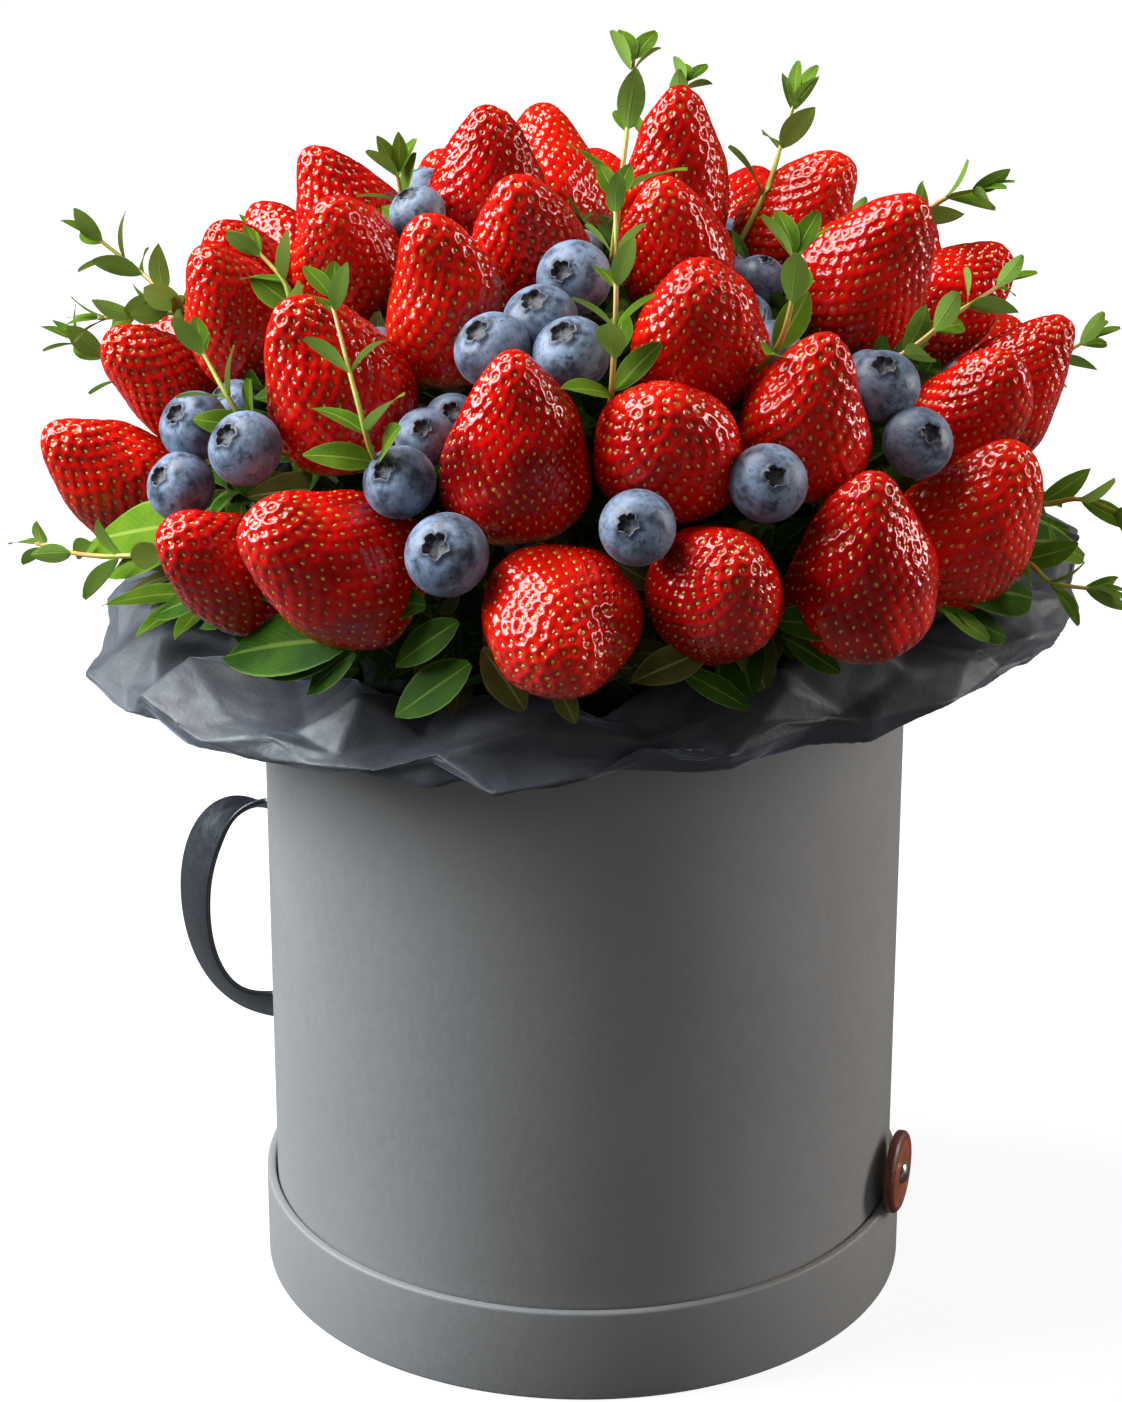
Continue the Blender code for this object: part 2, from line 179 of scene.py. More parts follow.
class Nodes:
    """Thin wrapper that keeps node building short."""

    def __init__(self, name):
        self.material = bpy.data.materials.new(name)
        self.material.use_nodes = True
        self.tree = self.material.node_tree
        self.shader = self.tree.nodes["Principled BSDF"]

    def set(self, **values):
        for key, value in values.items():
            self.shader.inputs[key.replace("_", " ")].default_value = value

    def node(self, kind, inputs=None, **settings):
        node = self.tree.nodes.new("ShaderNode" + kind)
        for key, value in settings.items():
            setattr(node, key, value)
        for key, value in (inputs or {}).items():
            self.feed(node.inputs[key], value)
        return node

    def feed(self, socket, value):
        if hasattr(value, "is_output"):
            self.tree.links.new(value, socket)
        else:
            socket.default_value = value

    def to(self, key, value):
        self.feed(self.shader.inputs[key], value)

    def place(self):
        return self.node("TexCoord").outputs["Object"]

    def along_and_off(self):
        """Share along the surface's length, and distance from its middle line."""
        parts = self.node("SeparateXYZ", {"Vector": self.node("TexCoord").outputs["UV"]}).outputs
        return parts[0], self.math("ABSOLUTE", self.math("SUBTRACT", parts[1], 0.5))

    def attribute(self, name):
        return self.node("Attribute", attribute_name=name).outputs["Fac"]

    def noise(self, scale, detail=3.0, rough=0.55, vector=None, distortion=0.0):
        return self.node("TexNoise", {"Scale": scale, "Detail": detail, "Roughness": rough,
                                      "Distortion": distortion,
                                      "Vector": vector or self.place()}).outputs["Fac"]

    def math(self, operation, a, b=0.5):
        return self.node("Math", {0: a, 1: b}, operation=operation).outputs[0]

    def times(self, a, b):
        return self.math("MULTIPLY", a, b)

    def band(self, value, low, high, to_low=0.0, to_high=1.0):
        return self.node("MapRange", {"Value": value, "From Min": low, "From Max": high,
                                      "To Min": to_low, "To Max": to_high},
                         interpolation_type="SMOOTHSTEP").outputs["Result"]

    def mix(self, share, a, b):
        node = self.node("Mix", data_type="RGBA")
        for socket, value in ((node.inputs[0], share), (node.inputs[6], a), (node.inputs[7], b)):
            self.feed(socket, (*value, 1.0) if isinstance(value, tuple) and len(value) == 3
                      else value)
        return node.outputs[2]

    def finish(self, colour, relief, strength, depth, **sockets):
        """Colour, the sockets that are the same all over, and a fine relief."""
        self.to("Base Color", colour)
        self.set(**sockets)
        bump = self.node("Bump", {"Height": relief, "Strength": strength, "Distance": depth})
        self.to("Normal", bump.outputs["Normal"])
        return self.material


def strawberry_material():
    m = Nodes("strawberry_skin")
    along, pit, tone = m.attribute("along"), m.attribute("pit"), m.attribute("tone")
    patch = m.band(m.noise(70.0), 0.35, 0.68)
    ripe = m.mix(patch, (0.25, 0.0008, 0.0015), (0.55, 0.003, 0.002))
    ripe = m.mix(m.times(tone, 0.55), ripe, (0.60, 0.010, 0.002))
    tip = m.band(along, 0.80, 1.02, 0.0, 0.35)
    ripe = m.mix(tip, ripe, (0.62, 0.014, 0.004))
    pale = m.times(m.band(along, 0.20, 0.02), m.band(m.noise(160.0), 0.3, 0.7, 0.5, 1.0))
    ripe = m.mix(pale, ripe, (0.85, 0.42, 0.20))
    halo = m.times(m.band(pit, 0.25, 0.8), m.band(m.noise(120.0, 2.0), 0.50, 0.72, 0.0, 0.6))
    ripe = m.mix(halo, ripe, (0.80, 0.22, 0.03))
    # Darker red in the pit floors round each seed: painted shade in the pits.
    ripe = m.mix(m.band(pit, 0.7, 1.0, 0.0, 0.45), ripe, (0.20, 0.003, 0.004))
    return m.finish(ripe, m.noise(1400.0, 2.0), 0.08, 0.0002,
                    Roughness=0.10, IOR=1.30, Coat_Weight=0.42, Coat_Roughness=0.04)


def seed_material():
    m = Nodes("strawberry_seed")
    colour = m.mix(m.attribute("tone"), (0.28, 0.115, 0.012), (0.74, 0.48, 0.07))
    colour = m.mix(m.band(m.noise(260.0), 0.5, 0.62), colour, (0.45, 0.13, 0.03))
    return m.finish(colour, m.noise(3000.0), 0.1, 0.0001,
                    Roughness=0.28, Coat_Weight=0.6, Coat_Roughness=0.12)


def blueberry_material():
    m = Nodes("blueberry_skin")
    bloom = m.band(m.noise(190.0, 4.0, 0.6), 0.24, 0.64)
    streak = m.band(m.noise(420.0, 3.0, 0.6, distortion=1.5), 0.22, 0.52)
    bloom = m.times(bloom, streak)
    colour = m.mix(bloom, (0.016, 0.021, 0.035), (0.152, 0.206, 0.296))
    plum = m.band(m.noise(120.0, 2.0), 0.55, 0.72, 0.0, 0.5)
    colour = m.mix(plum, colour, (0.040, 0.032, 0.055))
    colour = m.mix(m.times(m.attribute("crown"), 0.75), colour, (0.030, 0.030, 0.042))
    m.to("Roughness", m.band(bloom, 0.0, 1.0, 0.34, 0.52))
    return m.finish(colour, m.noise(900.0), 0.15, 0.0003, IOR=1.42, Sheen_Weight=0.12,
                    Sheen_Roughness=0.45, Sheen_Tint=(0.65, 0.74, 0.92, 1.0))


def crown_material():
    m = Nodes("blueberry_crown")
    colour = m.mix(m.band(m.noise(700.0), 0.4, 0.7), (0.010, 0.010, 0.016), (0.10, 0.085, 0.085))
    colour = m.mix(m.times(m.attribute("heart"), 0.85), colour, (0.045, 0.048, 0.058))
    return m.finish(colour, m.noise(1500.0), 0.5, 0.0004, Roughness=0.6)


def leaf_material(name, dark, light, rib, edge, under):
    """Leaf with a pale rib, faint side veins, a light rim and some light passing through."""
    m = Nodes(name)
    along, off = m.along_and_off()
    colour = m.mix(m.band(m.noise(110.0), 0.3, 0.7), dark, light)
    colour = m.mix(m.times(m.attribute("tone"), 0.55), colour, light)
    slant = m.math("ADD", m.times(along, 1.3), m.times(off, -1.1))
    slant = m.node("CombineXYZ", {0: slant, 1: 0.0, 2: 0.0}).outputs[0]
    vein = m.node("TexWave", {"Vector": slant, "Scale": 3.2}, bands_direction="X").outputs["Fac"]
    vein = m.band(vein, 0.86, 1.0)
    colour = m.mix(m.times(vein, 0.22), colour, rib)
    ribs = m.band(off, 0.055, 0.018)
    colour = m.mix(m.times(ribs, 0.8), colour, rib)
    colour = m.mix(m.band(off, 0.44, 0.50, 0.0, 0.7), colour, edge)
    back = m.node("NewGeometry").outputs["Backfacing"]
    colour = m.mix(m.times(back, 0.75), colour, under)
    height = m.math("SUBTRACT", m.times(vein, -0.4), m.times(ribs, 0.8))
    height = m.math("ADD", height, m.times(m.noise(500.0), 0.3))
    m.finish(colour, height, 0.5, 0.0004, Roughness=0.48, IOR=1.12)
    through = m.node("BsdfTranslucent", {"Color": m.mix(0.5, colour, under)})
    both = m.node("MixShader", {0: 0.24, 1: m.shader.outputs[0], 2: through.outputs[0]})
    m.feed(m.tree.nodes["Material Output"].inputs["Surface"], both.outputs[0])
    return m.material


def stem_material():
    m = Nodes("sprig_stem")
    colour = m.mix(m.band(m.noise(90.0), 0.4, 0.62), (0.30, 0.34, 0.04), (0.42, 0.20, 0.05))
    return m.finish(colour, m.noise(700.0), 0.3, 0.0003, Roughness=0.42)


def wood_material():
    m = Nodes("skewer_wood")
    stretch = m.node("Mapping", {"Vector": m.place(), "Scale": (1.0, 1.0, 0.12)}).outputs[0]
    colour = m.mix(m.band(m.noise(900.0, 3.0, vector=stretch), 0.35, 0.65),
                   (0.50, 0.33, 0.17), (0.66, 0.48, 0.28))
    return m.finish(colour, m.noise(1200.0, vector=stretch), 0.3, 0.0003, Roughness=0.65)


def core_material():
    m = Nodes("shaded_green_core")
    patch = m.band(m.noise(120.0, 4.0), 0.35, 0.7)
    # Foliage green darkened to near black: painted shade of the deep gaps between the berries.
    colour = m.mix(patch, (0.004, 0.006, 0.003), (0.022, 0.036, 0.010))
    return m.finish(colour, m.noise(350.0, 4.0), 0.8, 0.002, Roughness=0.85)


def card_material():
    m = Nodes("grey_card")
    cloud = m.noise(9.0)
    fibre = m.noise(1500.0, 3.0, 0.65)
    stretch = m.node("Mapping", {"Vector": m.place(), "Scale": (1.0, 1.0, 0.7)}).outputs[0]
    grain = m.noise(420.0, 4.0, 0.6, vector=stretch)
    colour = m.mix(m.band(cloud, 0.3, 0.7), (0.182, 0.179, 0.177), (0.212, 0.209, 0.207))
    fleck = m.times(m.band(grain, 0.35, 0.65), 0.22)
    colour = m.mix(fleck, colour, (0.235, 0.232, 0.230))
    m.to("Roughness", m.band(grain, 0.3, 0.7, 0.50, 0.66))
    return m.finish(colour, m.math("ADD", m.times(fibre, 0.5), grain), 0.16, 0.0004,
                    IOR=1.45, Sheen_Weight=0.12, Sheen_Roughness=0.5)


def paper_material():
    m = Nodes("black_tissue")
    cloud = m.noise(60.0, 4.0)
    colour = m.mix(m.band(cloud, 0.35, 0.7), (0.026, 0.028, 0.033), (0.042, 0.045, 0.054))
    # Lighter on raised facets and darker in sunken ones: painted light and shade that follow the
    # dents.
    colour = m.mix(m.times(m.attribute("crease"), 0.4), colour, (0.064, 0.069, 0.083))
    m.to("Roughness", m.band(m.noise(140.0), 0.3, 0.7, 0.50, 0.62))
    wrinkle = m.noise(380.0, 4.0, 0.6, distortion=0.6)
    wrinkle = m.math("ADD", wrinkle, m.times(m.noise(2200.0, 2.0), 0.2))
    return m.finish(colour, wrinkle, 0.24, 0.0009, IOR=1.55, Sheen_Weight=0.35,
                    Sheen_Roughness=0.35, Sheen_Tint=(0.75, 0.82, 1.0, 1.0))


def strap_material():
    m = Nodes("black_strap")
    edge = m.band(m.along_and_off()[1], 0.40, 0.5)
    patch = m.band(m.noise(220.0), 0.35, 0.7)
    colour = m.mix(patch, (0.004, 0.0045, 0.006), (0.009, 0.010, 0.014))
    colour = m.mix(m.times(edge, 0.6), colour, (0.004, 0.004, 0.005))
    m.to("Roughness", m.band(m.noise(300.0), 0.3, 0.7, 0.30, 0.42))
    weave = m.node("TexVoronoi", {"Vector": m.place(), "Scale": 1300.0}).outputs["Distance"]
    return m.finish(colour, weave, 0.25, 0.0003, IOR=1.6, Coat_Weight=0.6, Coat_Roughness=0.34,
                    Coat_Tint=(0.8, 0.9, 1.0, 1.0))


def leather_material():
    m = Nodes("brown_leather")
    patch = m.band(m.noise(150.0, 4.0), 0.3, 0.7)
    colour = m.mix(patch, (0.20, 0.046, 0.020), (0.36, 0.095, 0.042))
    colour = m.mix(m.times(m.attribute("rim"), 0.7), colour, (0.060, 0.014, 0.010))
    cells = m.node("TexVoronoi", {"Vector": m.place(), "Scale": 1100.0},
                   feature="DISTANCE_TO_EDGE").outputs["Distance"]
    grain = m.math("ADD", m.band(cells, 0.0, 0.12), m.times(m.noise(900.0), 0.5))
    return m.finish(colour, grain, 0.3, 0.0004, Roughness=0.42, Coat_Weight=0.2,
                    Coat_Roughness=0.3)


def metal_material():
    m = Nodes("stud_metal")
    colour = m.mix(m.band(m.noise(500.0), 0.4, 0.7), (0.62, 0.55, 0.44), (0.86, 0.80, 0.70))
    m.to("Roughness", m.band(m.noise(900.0), 0.3, 0.7, 0.18, 0.34))
    return m.finish(colour, m.noise(1500.0), 0.1, 0.0002, Metallic=1.0)


def floor_material():
    """Pale floor that stays white to the eye and reflects little on the berries."""
    m = Nodes("pale_floor")
    seen = m.node("LightPath").outputs["Is Camera Ray"]
    m.to("Base Color", m.mix(seen, (0.08, 0.08, 0.08), (0.17, 0.17, 0.17)))
    m.set(Roughness=0.9, Specular_IOR_Level=0.0, Emission_Color=(1.0, 1.0, 1.0, 1.0))
    centre = m.node("VectorMath", {0: m.node("TexCoord").outputs["Object"]}, operation="LENGTH")
    glow = m.band(centre.outputs["Value"], 0.4, 2.6, 0.86, 0.955)
    m.to("Emission Strength", m.times(seen, glow))
    return m.material


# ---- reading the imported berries

def read_berry(node):
    """Points of a packed berry in millimetres, its two poles and each point's neighbours."""
    mesh = NODES[node].data
    co = np.empty(len(mesh.vertices) * 3)
    mesh.vertices.foreach_get("co", co)
    co = co.reshape(-1, 3) / MM
    keys, index = {}, []
    for p in np.round(co, 2):
        index.append(keys.setdefault(tuple(p), len(keys)))
    points = np.zeros((len(keys), 3))
    for i, p in zip(index, co):
        points[i] = p
    uses = np.zeros(len(keys), int)
    mesh.calc_loop_triangles()
    links = {}
    for tri in mesh.loop_triangles:
        corners = [index[v] for v in tri.vertices]
        for c in corners:
            uses[c] += 1
            links.setdefault(c, set()).update(corners)
    poles = sorted(np.argsort(-uses)[:2])
    return points, poles, links


FULLNESS = 0.42                     # power of a strawberry's outline; less is fuller
LOW_CUT, HIGH_CUT = 0.14, 0.80      # shares of the length where the taper is read
PLAIN, PLAIN_HIGH = 1.1268, 0.9014  # high over low width with no taper, and that by HIGH_CUT


def strawberry_facts(node):
    """Stem end, axis, length, half width and taper."""
    points, poles, links = read_berry(node)

    def ring(pole):
        near = points[[i for i in links[pole] if i != pole]]
        return np.linalg.norm(near - near.mean(axis=0), axis=1).mean()

    base, tip = sorted(poles, key=ring, reverse=True)
    base, tip = points[base], points[tip]
    axis, length = unit(tip - base), np.linalg.norm(tip - base)
    share = (points - base) @ axis / length
    radius = np.linalg.norm(points - base - np.outer(share * length, axis), axis=1)
    low = radius[np.abs(share - LOW_CUT) < 0.02].mean()
    high = radius[np.abs(share - HIGH_CUT) < 0.02].mean()
    ratio = high / low
    taper = (PLAIN - ratio) / (PLAIN_HIGH - LOW_CUT * ratio)
    return base, axis, length, radius.max(), taper


def blueberry_facts(node):
    """Centre, axis towards the crown and half width."""
    points, poles, _ = read_berry(node)
    ends = points[poles]
    ring = [i for i in range(len(points)) if i not in poles]
    gaps = [np.linalg.norm(points[ring] - e, axis=1).min() for e in ends]
    crown, foot = (ends[0], ends[1]) if gaps[0] < gaps[1] else (ends[1], ends[0])
    axis = unit(crown - foot)
    reach = (points - foot) @ axis
    across = np.linalg.norm(points - foot - np.outer(reach, axis), axis=1)
    half = across.max()
    return foot + axis * half, axis, half


# ---- strawberries

def ball_grid(count):
    """Even directions over a ball from a cube's grid, with its quads."""
    steps = np.tan(np.linspace(-0.25, 0.25, count + 1) * math.pi)
    keys, verts, faces = {}, [], []

    def vertex(p):
        key = tuple(np.round(p, 6))
        if key not in keys:
            keys[key] = len(verts)
            verts.append(unit(p))
        return keys[key]

    for axis in range(3):
        for sign in (-1.0, 1.0):
            grid = []
            for a in steps:
                row = []
                for b in steps:
                    p = np.zeros(3)
                    p[axis], p[(axis + 1) % 3], p[(axis + 2) % 3] = sign, a * sign, b
                    row.append(vertex(p))
                grid.append(row)
            for i in range(count):
                for j in range(count):
                    faces.append((grid[i][j], grid[i + 1][j], grid[i + 1][j + 1], grid[i][j + 1]))
    return np.array(verts), np.array(faces)


def profile(u, taper):
    """Half width along a strawberry, from 0 to 1, at shares of its length."""
    def raw(share):
        return np.maximum(share * (1.0 - share), 0.0) ** FULLNESS * (1.0 - taper * share)

    return raw(u) / raw(np.linspace(0, 1, 101)).max()


def normals_of(verts, faces):
    """Point normals of a mesh of quads."""
    quad = verts[faces]
    face = np.cross(quad[:, 2] - quad[:, 0], quad[:, 3] - quad[:, 1])
    out = np.zeros_like(verts)
    for k in range(4):
        np.add.at(out, faces[:, k], face)
    return out / np.maximum(np.linalg.norm(out, axis=1), 1e-9)[:, None]


def berry_surface(dirs, length, half, taper, turns):
    """Point on the berry for each direction, in the berry's own frame, base at z = 0."""
    u = 0.5 * (1.0 + dirs[:, 2])
    phi = np.arctan2(dirs[:, 1], dirs[:, 0])
    radius = half * profile(u, taper)
    lobes = 1.0 + 0.035 * np.cos(2 * (phi - turns[0])) + 0.018 * np.cos(3 * (phi - turns[1]))
    lobes += 0.022 * np.cos(phi - turns[2]) * np.sin(2 * math.pi * u)
    radius = radius * lobes
    bend = 0.05 * length * (u - 0.45) ** 2 * 2.0
    x = radius * np.cos(phi) + bend * math.cos(turns[3])
    y = radius * np.sin(phi) + bend * math.sin(turns[3])
    return np.stack((x, y, u * length), axis=1)


def swell(points, amount, seed):
    """Slow bumps that keep a berry from being a perfect turned form."""
    out = np.empty(len(points))
    shift = Vector((seed * 7.31, seed * 3.17, seed * 1.73))
    for i, p in enumerate(points):
        out[i] = noise.noise(Vector(p) * 0.075 + shift)
    return out * amount


def seed_places(length, half, taper, spacing):
    """Shares along the length and angles of an even spiral of seeds."""
    u = np.linspace(0.0, 1.0, 201)
    r = half * profile(u, taper)
    step = np.hypot(np.diff(r), np.diff(u) * length)
    area = np.concatenate(((0.0,), np.cumsum(math.pi * (r[1:] + r[:-1]) * step)))
    count = int(area[-1] / (0.866 * spacing ** 2))
    picks = np.interp((np.arange(count) + 0.5) / count * area[-1], area, u)
    return picks, np.arange(count) * GOLDEN


def crowd(dirs, power):
    """Moves directions towards the tip, where a berry shows."""
    z = 1.0 - 2.0 * (0.5 * (1.0 - dirs[:, 2])) ** power
    flat = np.linalg.norm(dirs[:, :2], axis=1)
    scale = np.sqrt(np.maximum(1.0 - z * z, 0.0)) / np.maximum(flat, 1e-9)
    return np.stack((dirs[:, 0] * scale, dirs[:, 1] * scale, z), axis=1)


GRID, QUADS = ball_grid(BERRY_CELLS)
BERRY_GRID = crowd(GRID, 1.2)
PIT_SPACING, PIT_DEPTH = (3.05, 3.75), (0.19, 0.27)     # millimetres, and shares of the spacing
PIT_FLOOR, PIT_WALL, SKIN = 0.10, 0.37, 0.85            # shares of the spacing, share of the depth
SEED_SUNK, SEED_SIZE, SEED_RING = 0.54, (1.1, 1.45), 6


def seed_shape():
    """Low teardrop cap: a ring of points and one raised point."""
    ring = []
    for k in range(SEED_RING):
        a = 2 * math.pi * k / SEED_RING
        width = 0.33 * (1.0 - 0.30 * math.cos(a))
        ring.append((width * math.sin(a), 0.56 * math.cos(a), -0.10))
    ring.append((0.0, -0.06, 0.30))
    return np.array(ring), [(k, SEED_RING, (k + 1) % SEED_RING) for k in range(SEED_RING)]


def strawberry(node, number, skin, seeds):
    """Skin with a pit round each seed; the seeds go to a heap that all berries share."""
    base, axis, length, half, taper = strawberry_facts(node)
    rng = np.random.default_rng(100 + number)
    turns = rng.uniform(0, 2 * math.pi, 4)
    rows = frame_of(axis)
    verts = berry_surface(BERRY_GRID, length, half, taper, turns)
    verts = verts + normals_of(verts, QUADS) * swell(verts, 1.5, number)[:, None]
    normals = normals_of(verts, QUADS)

    spacing = rng.uniform(*PIT_SPACING)
    share, turn = seed_places(length, half, taper, spacing)
    spots = spiral_ball(2 * share - 1, turn)
    spots += rng.normal(0, 0.012, spots.shape)
    spots /= np.linalg.norm(spots, axis=1)[:, None]
    centres = berry_surface(spots, length, half, taper, turns)
    nearest = np.argmin(((verts[None] - centres[:, None]) ** 2).sum(axis=2), axis=1)
    outward = normals[nearest]
    lift = ((centres - verts[nearest]) * outward).sum(axis=1)
    centres = centres - outward * lift[:, None]

    gap = np.empty(len(verts))
    for chunk in np.array_split(np.arange(len(verts)), 12):
        away = ((verts[chunk, None] - centres[None]) ** 2).sum(axis=2)
        gap[chunk] = np.sqrt(away.min(axis=1)) / spacing
    depth = spacing * rng.uniform(*PIT_DEPTH)
    t = np.clip((gap - PIT_FLOOR) / PIT_WALL, 0.0, 1.0)
    wall = t * t * (3 - 2 * t)
    verts = verts + normals * ((wall - SKIN) * depth)[:, None]
    pit = 1.0 - np.clip((gap - 0.06) / 0.36, 0.0, 1.0)
    tone = np.full(len(verts), rng.uniform(0, 1) ** 1.5)
    piece = add_piece("berry_" + node, base + verts @ rows, QUADS, [skin], "strawberry_red",
                      pit=pit, along=verts[:, 2] / length, tone=tone)
    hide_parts(node)

    shape, faces = seed_shape()
    sunk = centres - outward * (SEED_SUNK * depth)
    for place, normal, roll in zip(sunk, outward, rng.normal(0, 0.25, len(sunk))):
        if place[2] < 0.05 * length:
            continue
        up = unit(UP - normal * normal[2])
        side = np.cross(up, normal)
        across = side * math.cos(roll) - up * math.sin(roll)
        along = up * math.cos(roll) + side * math.sin(roll)
        local = place + shape @ np.array((across, along, normal)) * rng.uniform(*SEED_SIZE)
        seeds.add(base + local @ rows, faces, extra=rng.uniform(0, 1))


# ---- blueberries

CROWN_LOBES = 5
BERRY_SEGMENTS, BODY_RINGS, BLEND_RINGS = 44, 21, 3

# Rings of the crown from its hollow out to the skin: reach, lift, share of crown, of hollow.
CROWN_RINGS = ((0.02, -0.20, 1.0, 1.0), (0.35, -0.17, 1.0, 0.7), (0.8, -0.14, 1.0, 0.0),
               (0.97, -0.02, 1.0, 0.0), (1.0, 0.035, 1.0, 0.0), (1.13, 0.045, 1.0, 0.0),
               (1.28, 0.012, 0.8, 0.0), (1.5, 0.0, 0.3, 0.0))


def blueberry(centre, axis, half, number):
    """Slightly flat berry with a five pointed crown round a dark hollow."""
    rng = np.random.default_rng(900 + number)
    turn = rng.uniform(0, 2 * math.pi)
    rows = frame_of(axis, unit((0.3, 0.2, 1.0)))
    phi = np.arange(BERRY_SEGMENTS) * 2 * math.pi / BERRY_SEGMENTS
    star = 0.21 + 0.10 * np.abs(np.cos(0.5 * CROWN_LOBES * phi + turn)) ** 0.7
    star *= rng.uniform(0.9, 1.12)
    star += 0.015 * np.cos(11 * phi + turn) + 0.010 * np.cos(17 * phi)
    rings, sink, shoulder = [], 0.05, 0.60
    for reach, lift, crown, hollow in CROWN_RINGS:
        r = star * reach
        rings.append((r, np.sqrt(1 - r * r) + lift - sink, crown, hollow))
    outer = r
    for k in range(1, BODY_RINGS + 1):
        angle = shoulder + k / BODY_RINGS * (math.pi - shoulder - 0.05)
        r, z = np.full(BERRY_SEGMENTS, math.sin(angle)), np.full(BERRY_SEGMENTS, math.cos(angle))
        if k < BLEND_RINGS:
            r = outer + (r - outer) * (k / BLEND_RINGS)
            z = np.sqrt(1 - r * r) - sink * (1 - k / BLEND_RINGS)
        rings.append((r, z, 0.0, 0.0))
    verts = [np.stack((r * np.cos(phi), r * np.sin(phi), z), axis=1) for r, z, _, _ in rings]
    verts = np.concatenate(verts + [((0, 0, 0.75), (0, 0, -1.0))])
    verts[:, 2] = np.where(verts[:, 2] > -0.2, verts[:, 2] * 0.94, verts[:, 2] * 0.9)
    crowns = [ring[2] for ring in rings for _ in phi] + [1.0, 0.0]
    hollows = [ring[3] for ring in rings for _ in phi] + [1.0, 0.0]

    faces = [(a, d, c, b) for a, b, c, d in quads(len(rings), BERRY_SEGMENTS, loop=True)]
    picks = [1] * (3 * BERRY_SEGMENTS) + [0] * ((len(rings) - 4) * BERRY_SEGMENTS)
    top, bottom, last = len(verts) - 2, len(verts) - 1, (len(rings) - 1) * BERRY_SEGMENTS
    for k in range(BERRY_SEGMENTS):
        n = (k + 1) % BERRY_SEGMENTS
        faces += [(top, k, n), (bottom, last + n, last + k)]
        picks += [1, 0]
    return centre + (verts * half) @ rows, faces, picks, crowns, hollows


def blueberry_piece(name, berries, materials):
    """One piece from a list of berries."""
    verts, faces, picks, crowns, hollows = zip(*berries)
    faces = [tuple(number * len(verts[0]) + i for i in face)
             for number, berry in enumerate(faces) for face in berry]
    return add_piece(name, np.concatenate(verts), faces, materials, "blueberry_blue",
                     picks=sum(picks, []), crown=sum(crowns, []), heart=sum(hollows, []))


# ---- leaves and sprigs

def leaf(heap, base, axis, normal, length, width, rng, curl=0.18, fold=0.22):
    """Pointed oval leaf with a raised fold along its rib."""
    axis = unit(axis)
    normal = unit(normal - axis * float(np.dot(normal, axis)))
    side = np.cross(axis, normal)
    rows, columns = 9, 5
    verts, uv = [], []
    bow = rng.normal(0, 0.04)
    for i in range(rows):
        t = i / (rows - 1)
        oval = math.sin(math.pi * min(t * 0.97 + 0.012, 1.0) ** 0.95) ** 0.72
        half = 0.5 * width * (oval + 0.02)
        for j in range(columns):
            s = j / (columns - 1) * 2 - 1
            across = s * half + bow * length * t * t
            lift = fold * abs(s) * half - curl * length * t * t
            lift += 0.03 * length * math.sin(3.0 * t + s)
            verts.append(base + axis * (length * t) + side * across + normal * lift)
            uv.append((t, 0.5 + 0.5 * s))
    heap.add(verts, quads(rows, columns), uv, rng.uniform(0, 1))


def tube(heap, points, radii, sides=8):
    """Closed round bar through the points."""
    points = [np.asarray(p, float) for p in points]
    verts, count = [], len(points)
    for k, p in enumerate(points):
        run = unit(points[min(k + 1, count - 1)] - points[max(k - 1, 0)])
        rows = frame_of(run, (0.37, 0.61, 0.70))
        for s in range(sides):
            a = 2 * math.pi * s / sides
            verts.append(p + radii[k] * (rows[0] * math.cos(a) + rows[1] * math.sin(a)))
    verts += [points[0], points[-1] + unit(points[-1] - points[-2]) * radii[-1] * 0.6]
    faces = quads(count, sides, loop=True)
    start, end, last = len(verts) - 2, len(verts) - 1, (count - 1) * sides
    for s in range(sides):
        n = (s + 1) % sides
        faces += [(start, n, s), (end, last + s, last + n)]
    heap.add(verts, faces)


def curve_through(points, count):
    """Smooth points along a Catmull-Rom curve."""
    p = [2 * points[0] - points[1]] + list(points) + [2 * points[-1] - points[-2]]
    out = []
    spans = len(points) - 1
    for k in range(count):
        x = k / (count - 1) * spans
        i = min(int(x), spans - 1)
        t = x - i
        a, b, c, d = p[i], p[i + 1], p[i + 2], p[i + 3]
        out.append(0.5 * ((2 * b) + (c - a) * t + (2 * a - 5 * b + 4 * c - d) * t * t
                          + (3 * b - a - 3 * c + d) * t ** 3))
    return out


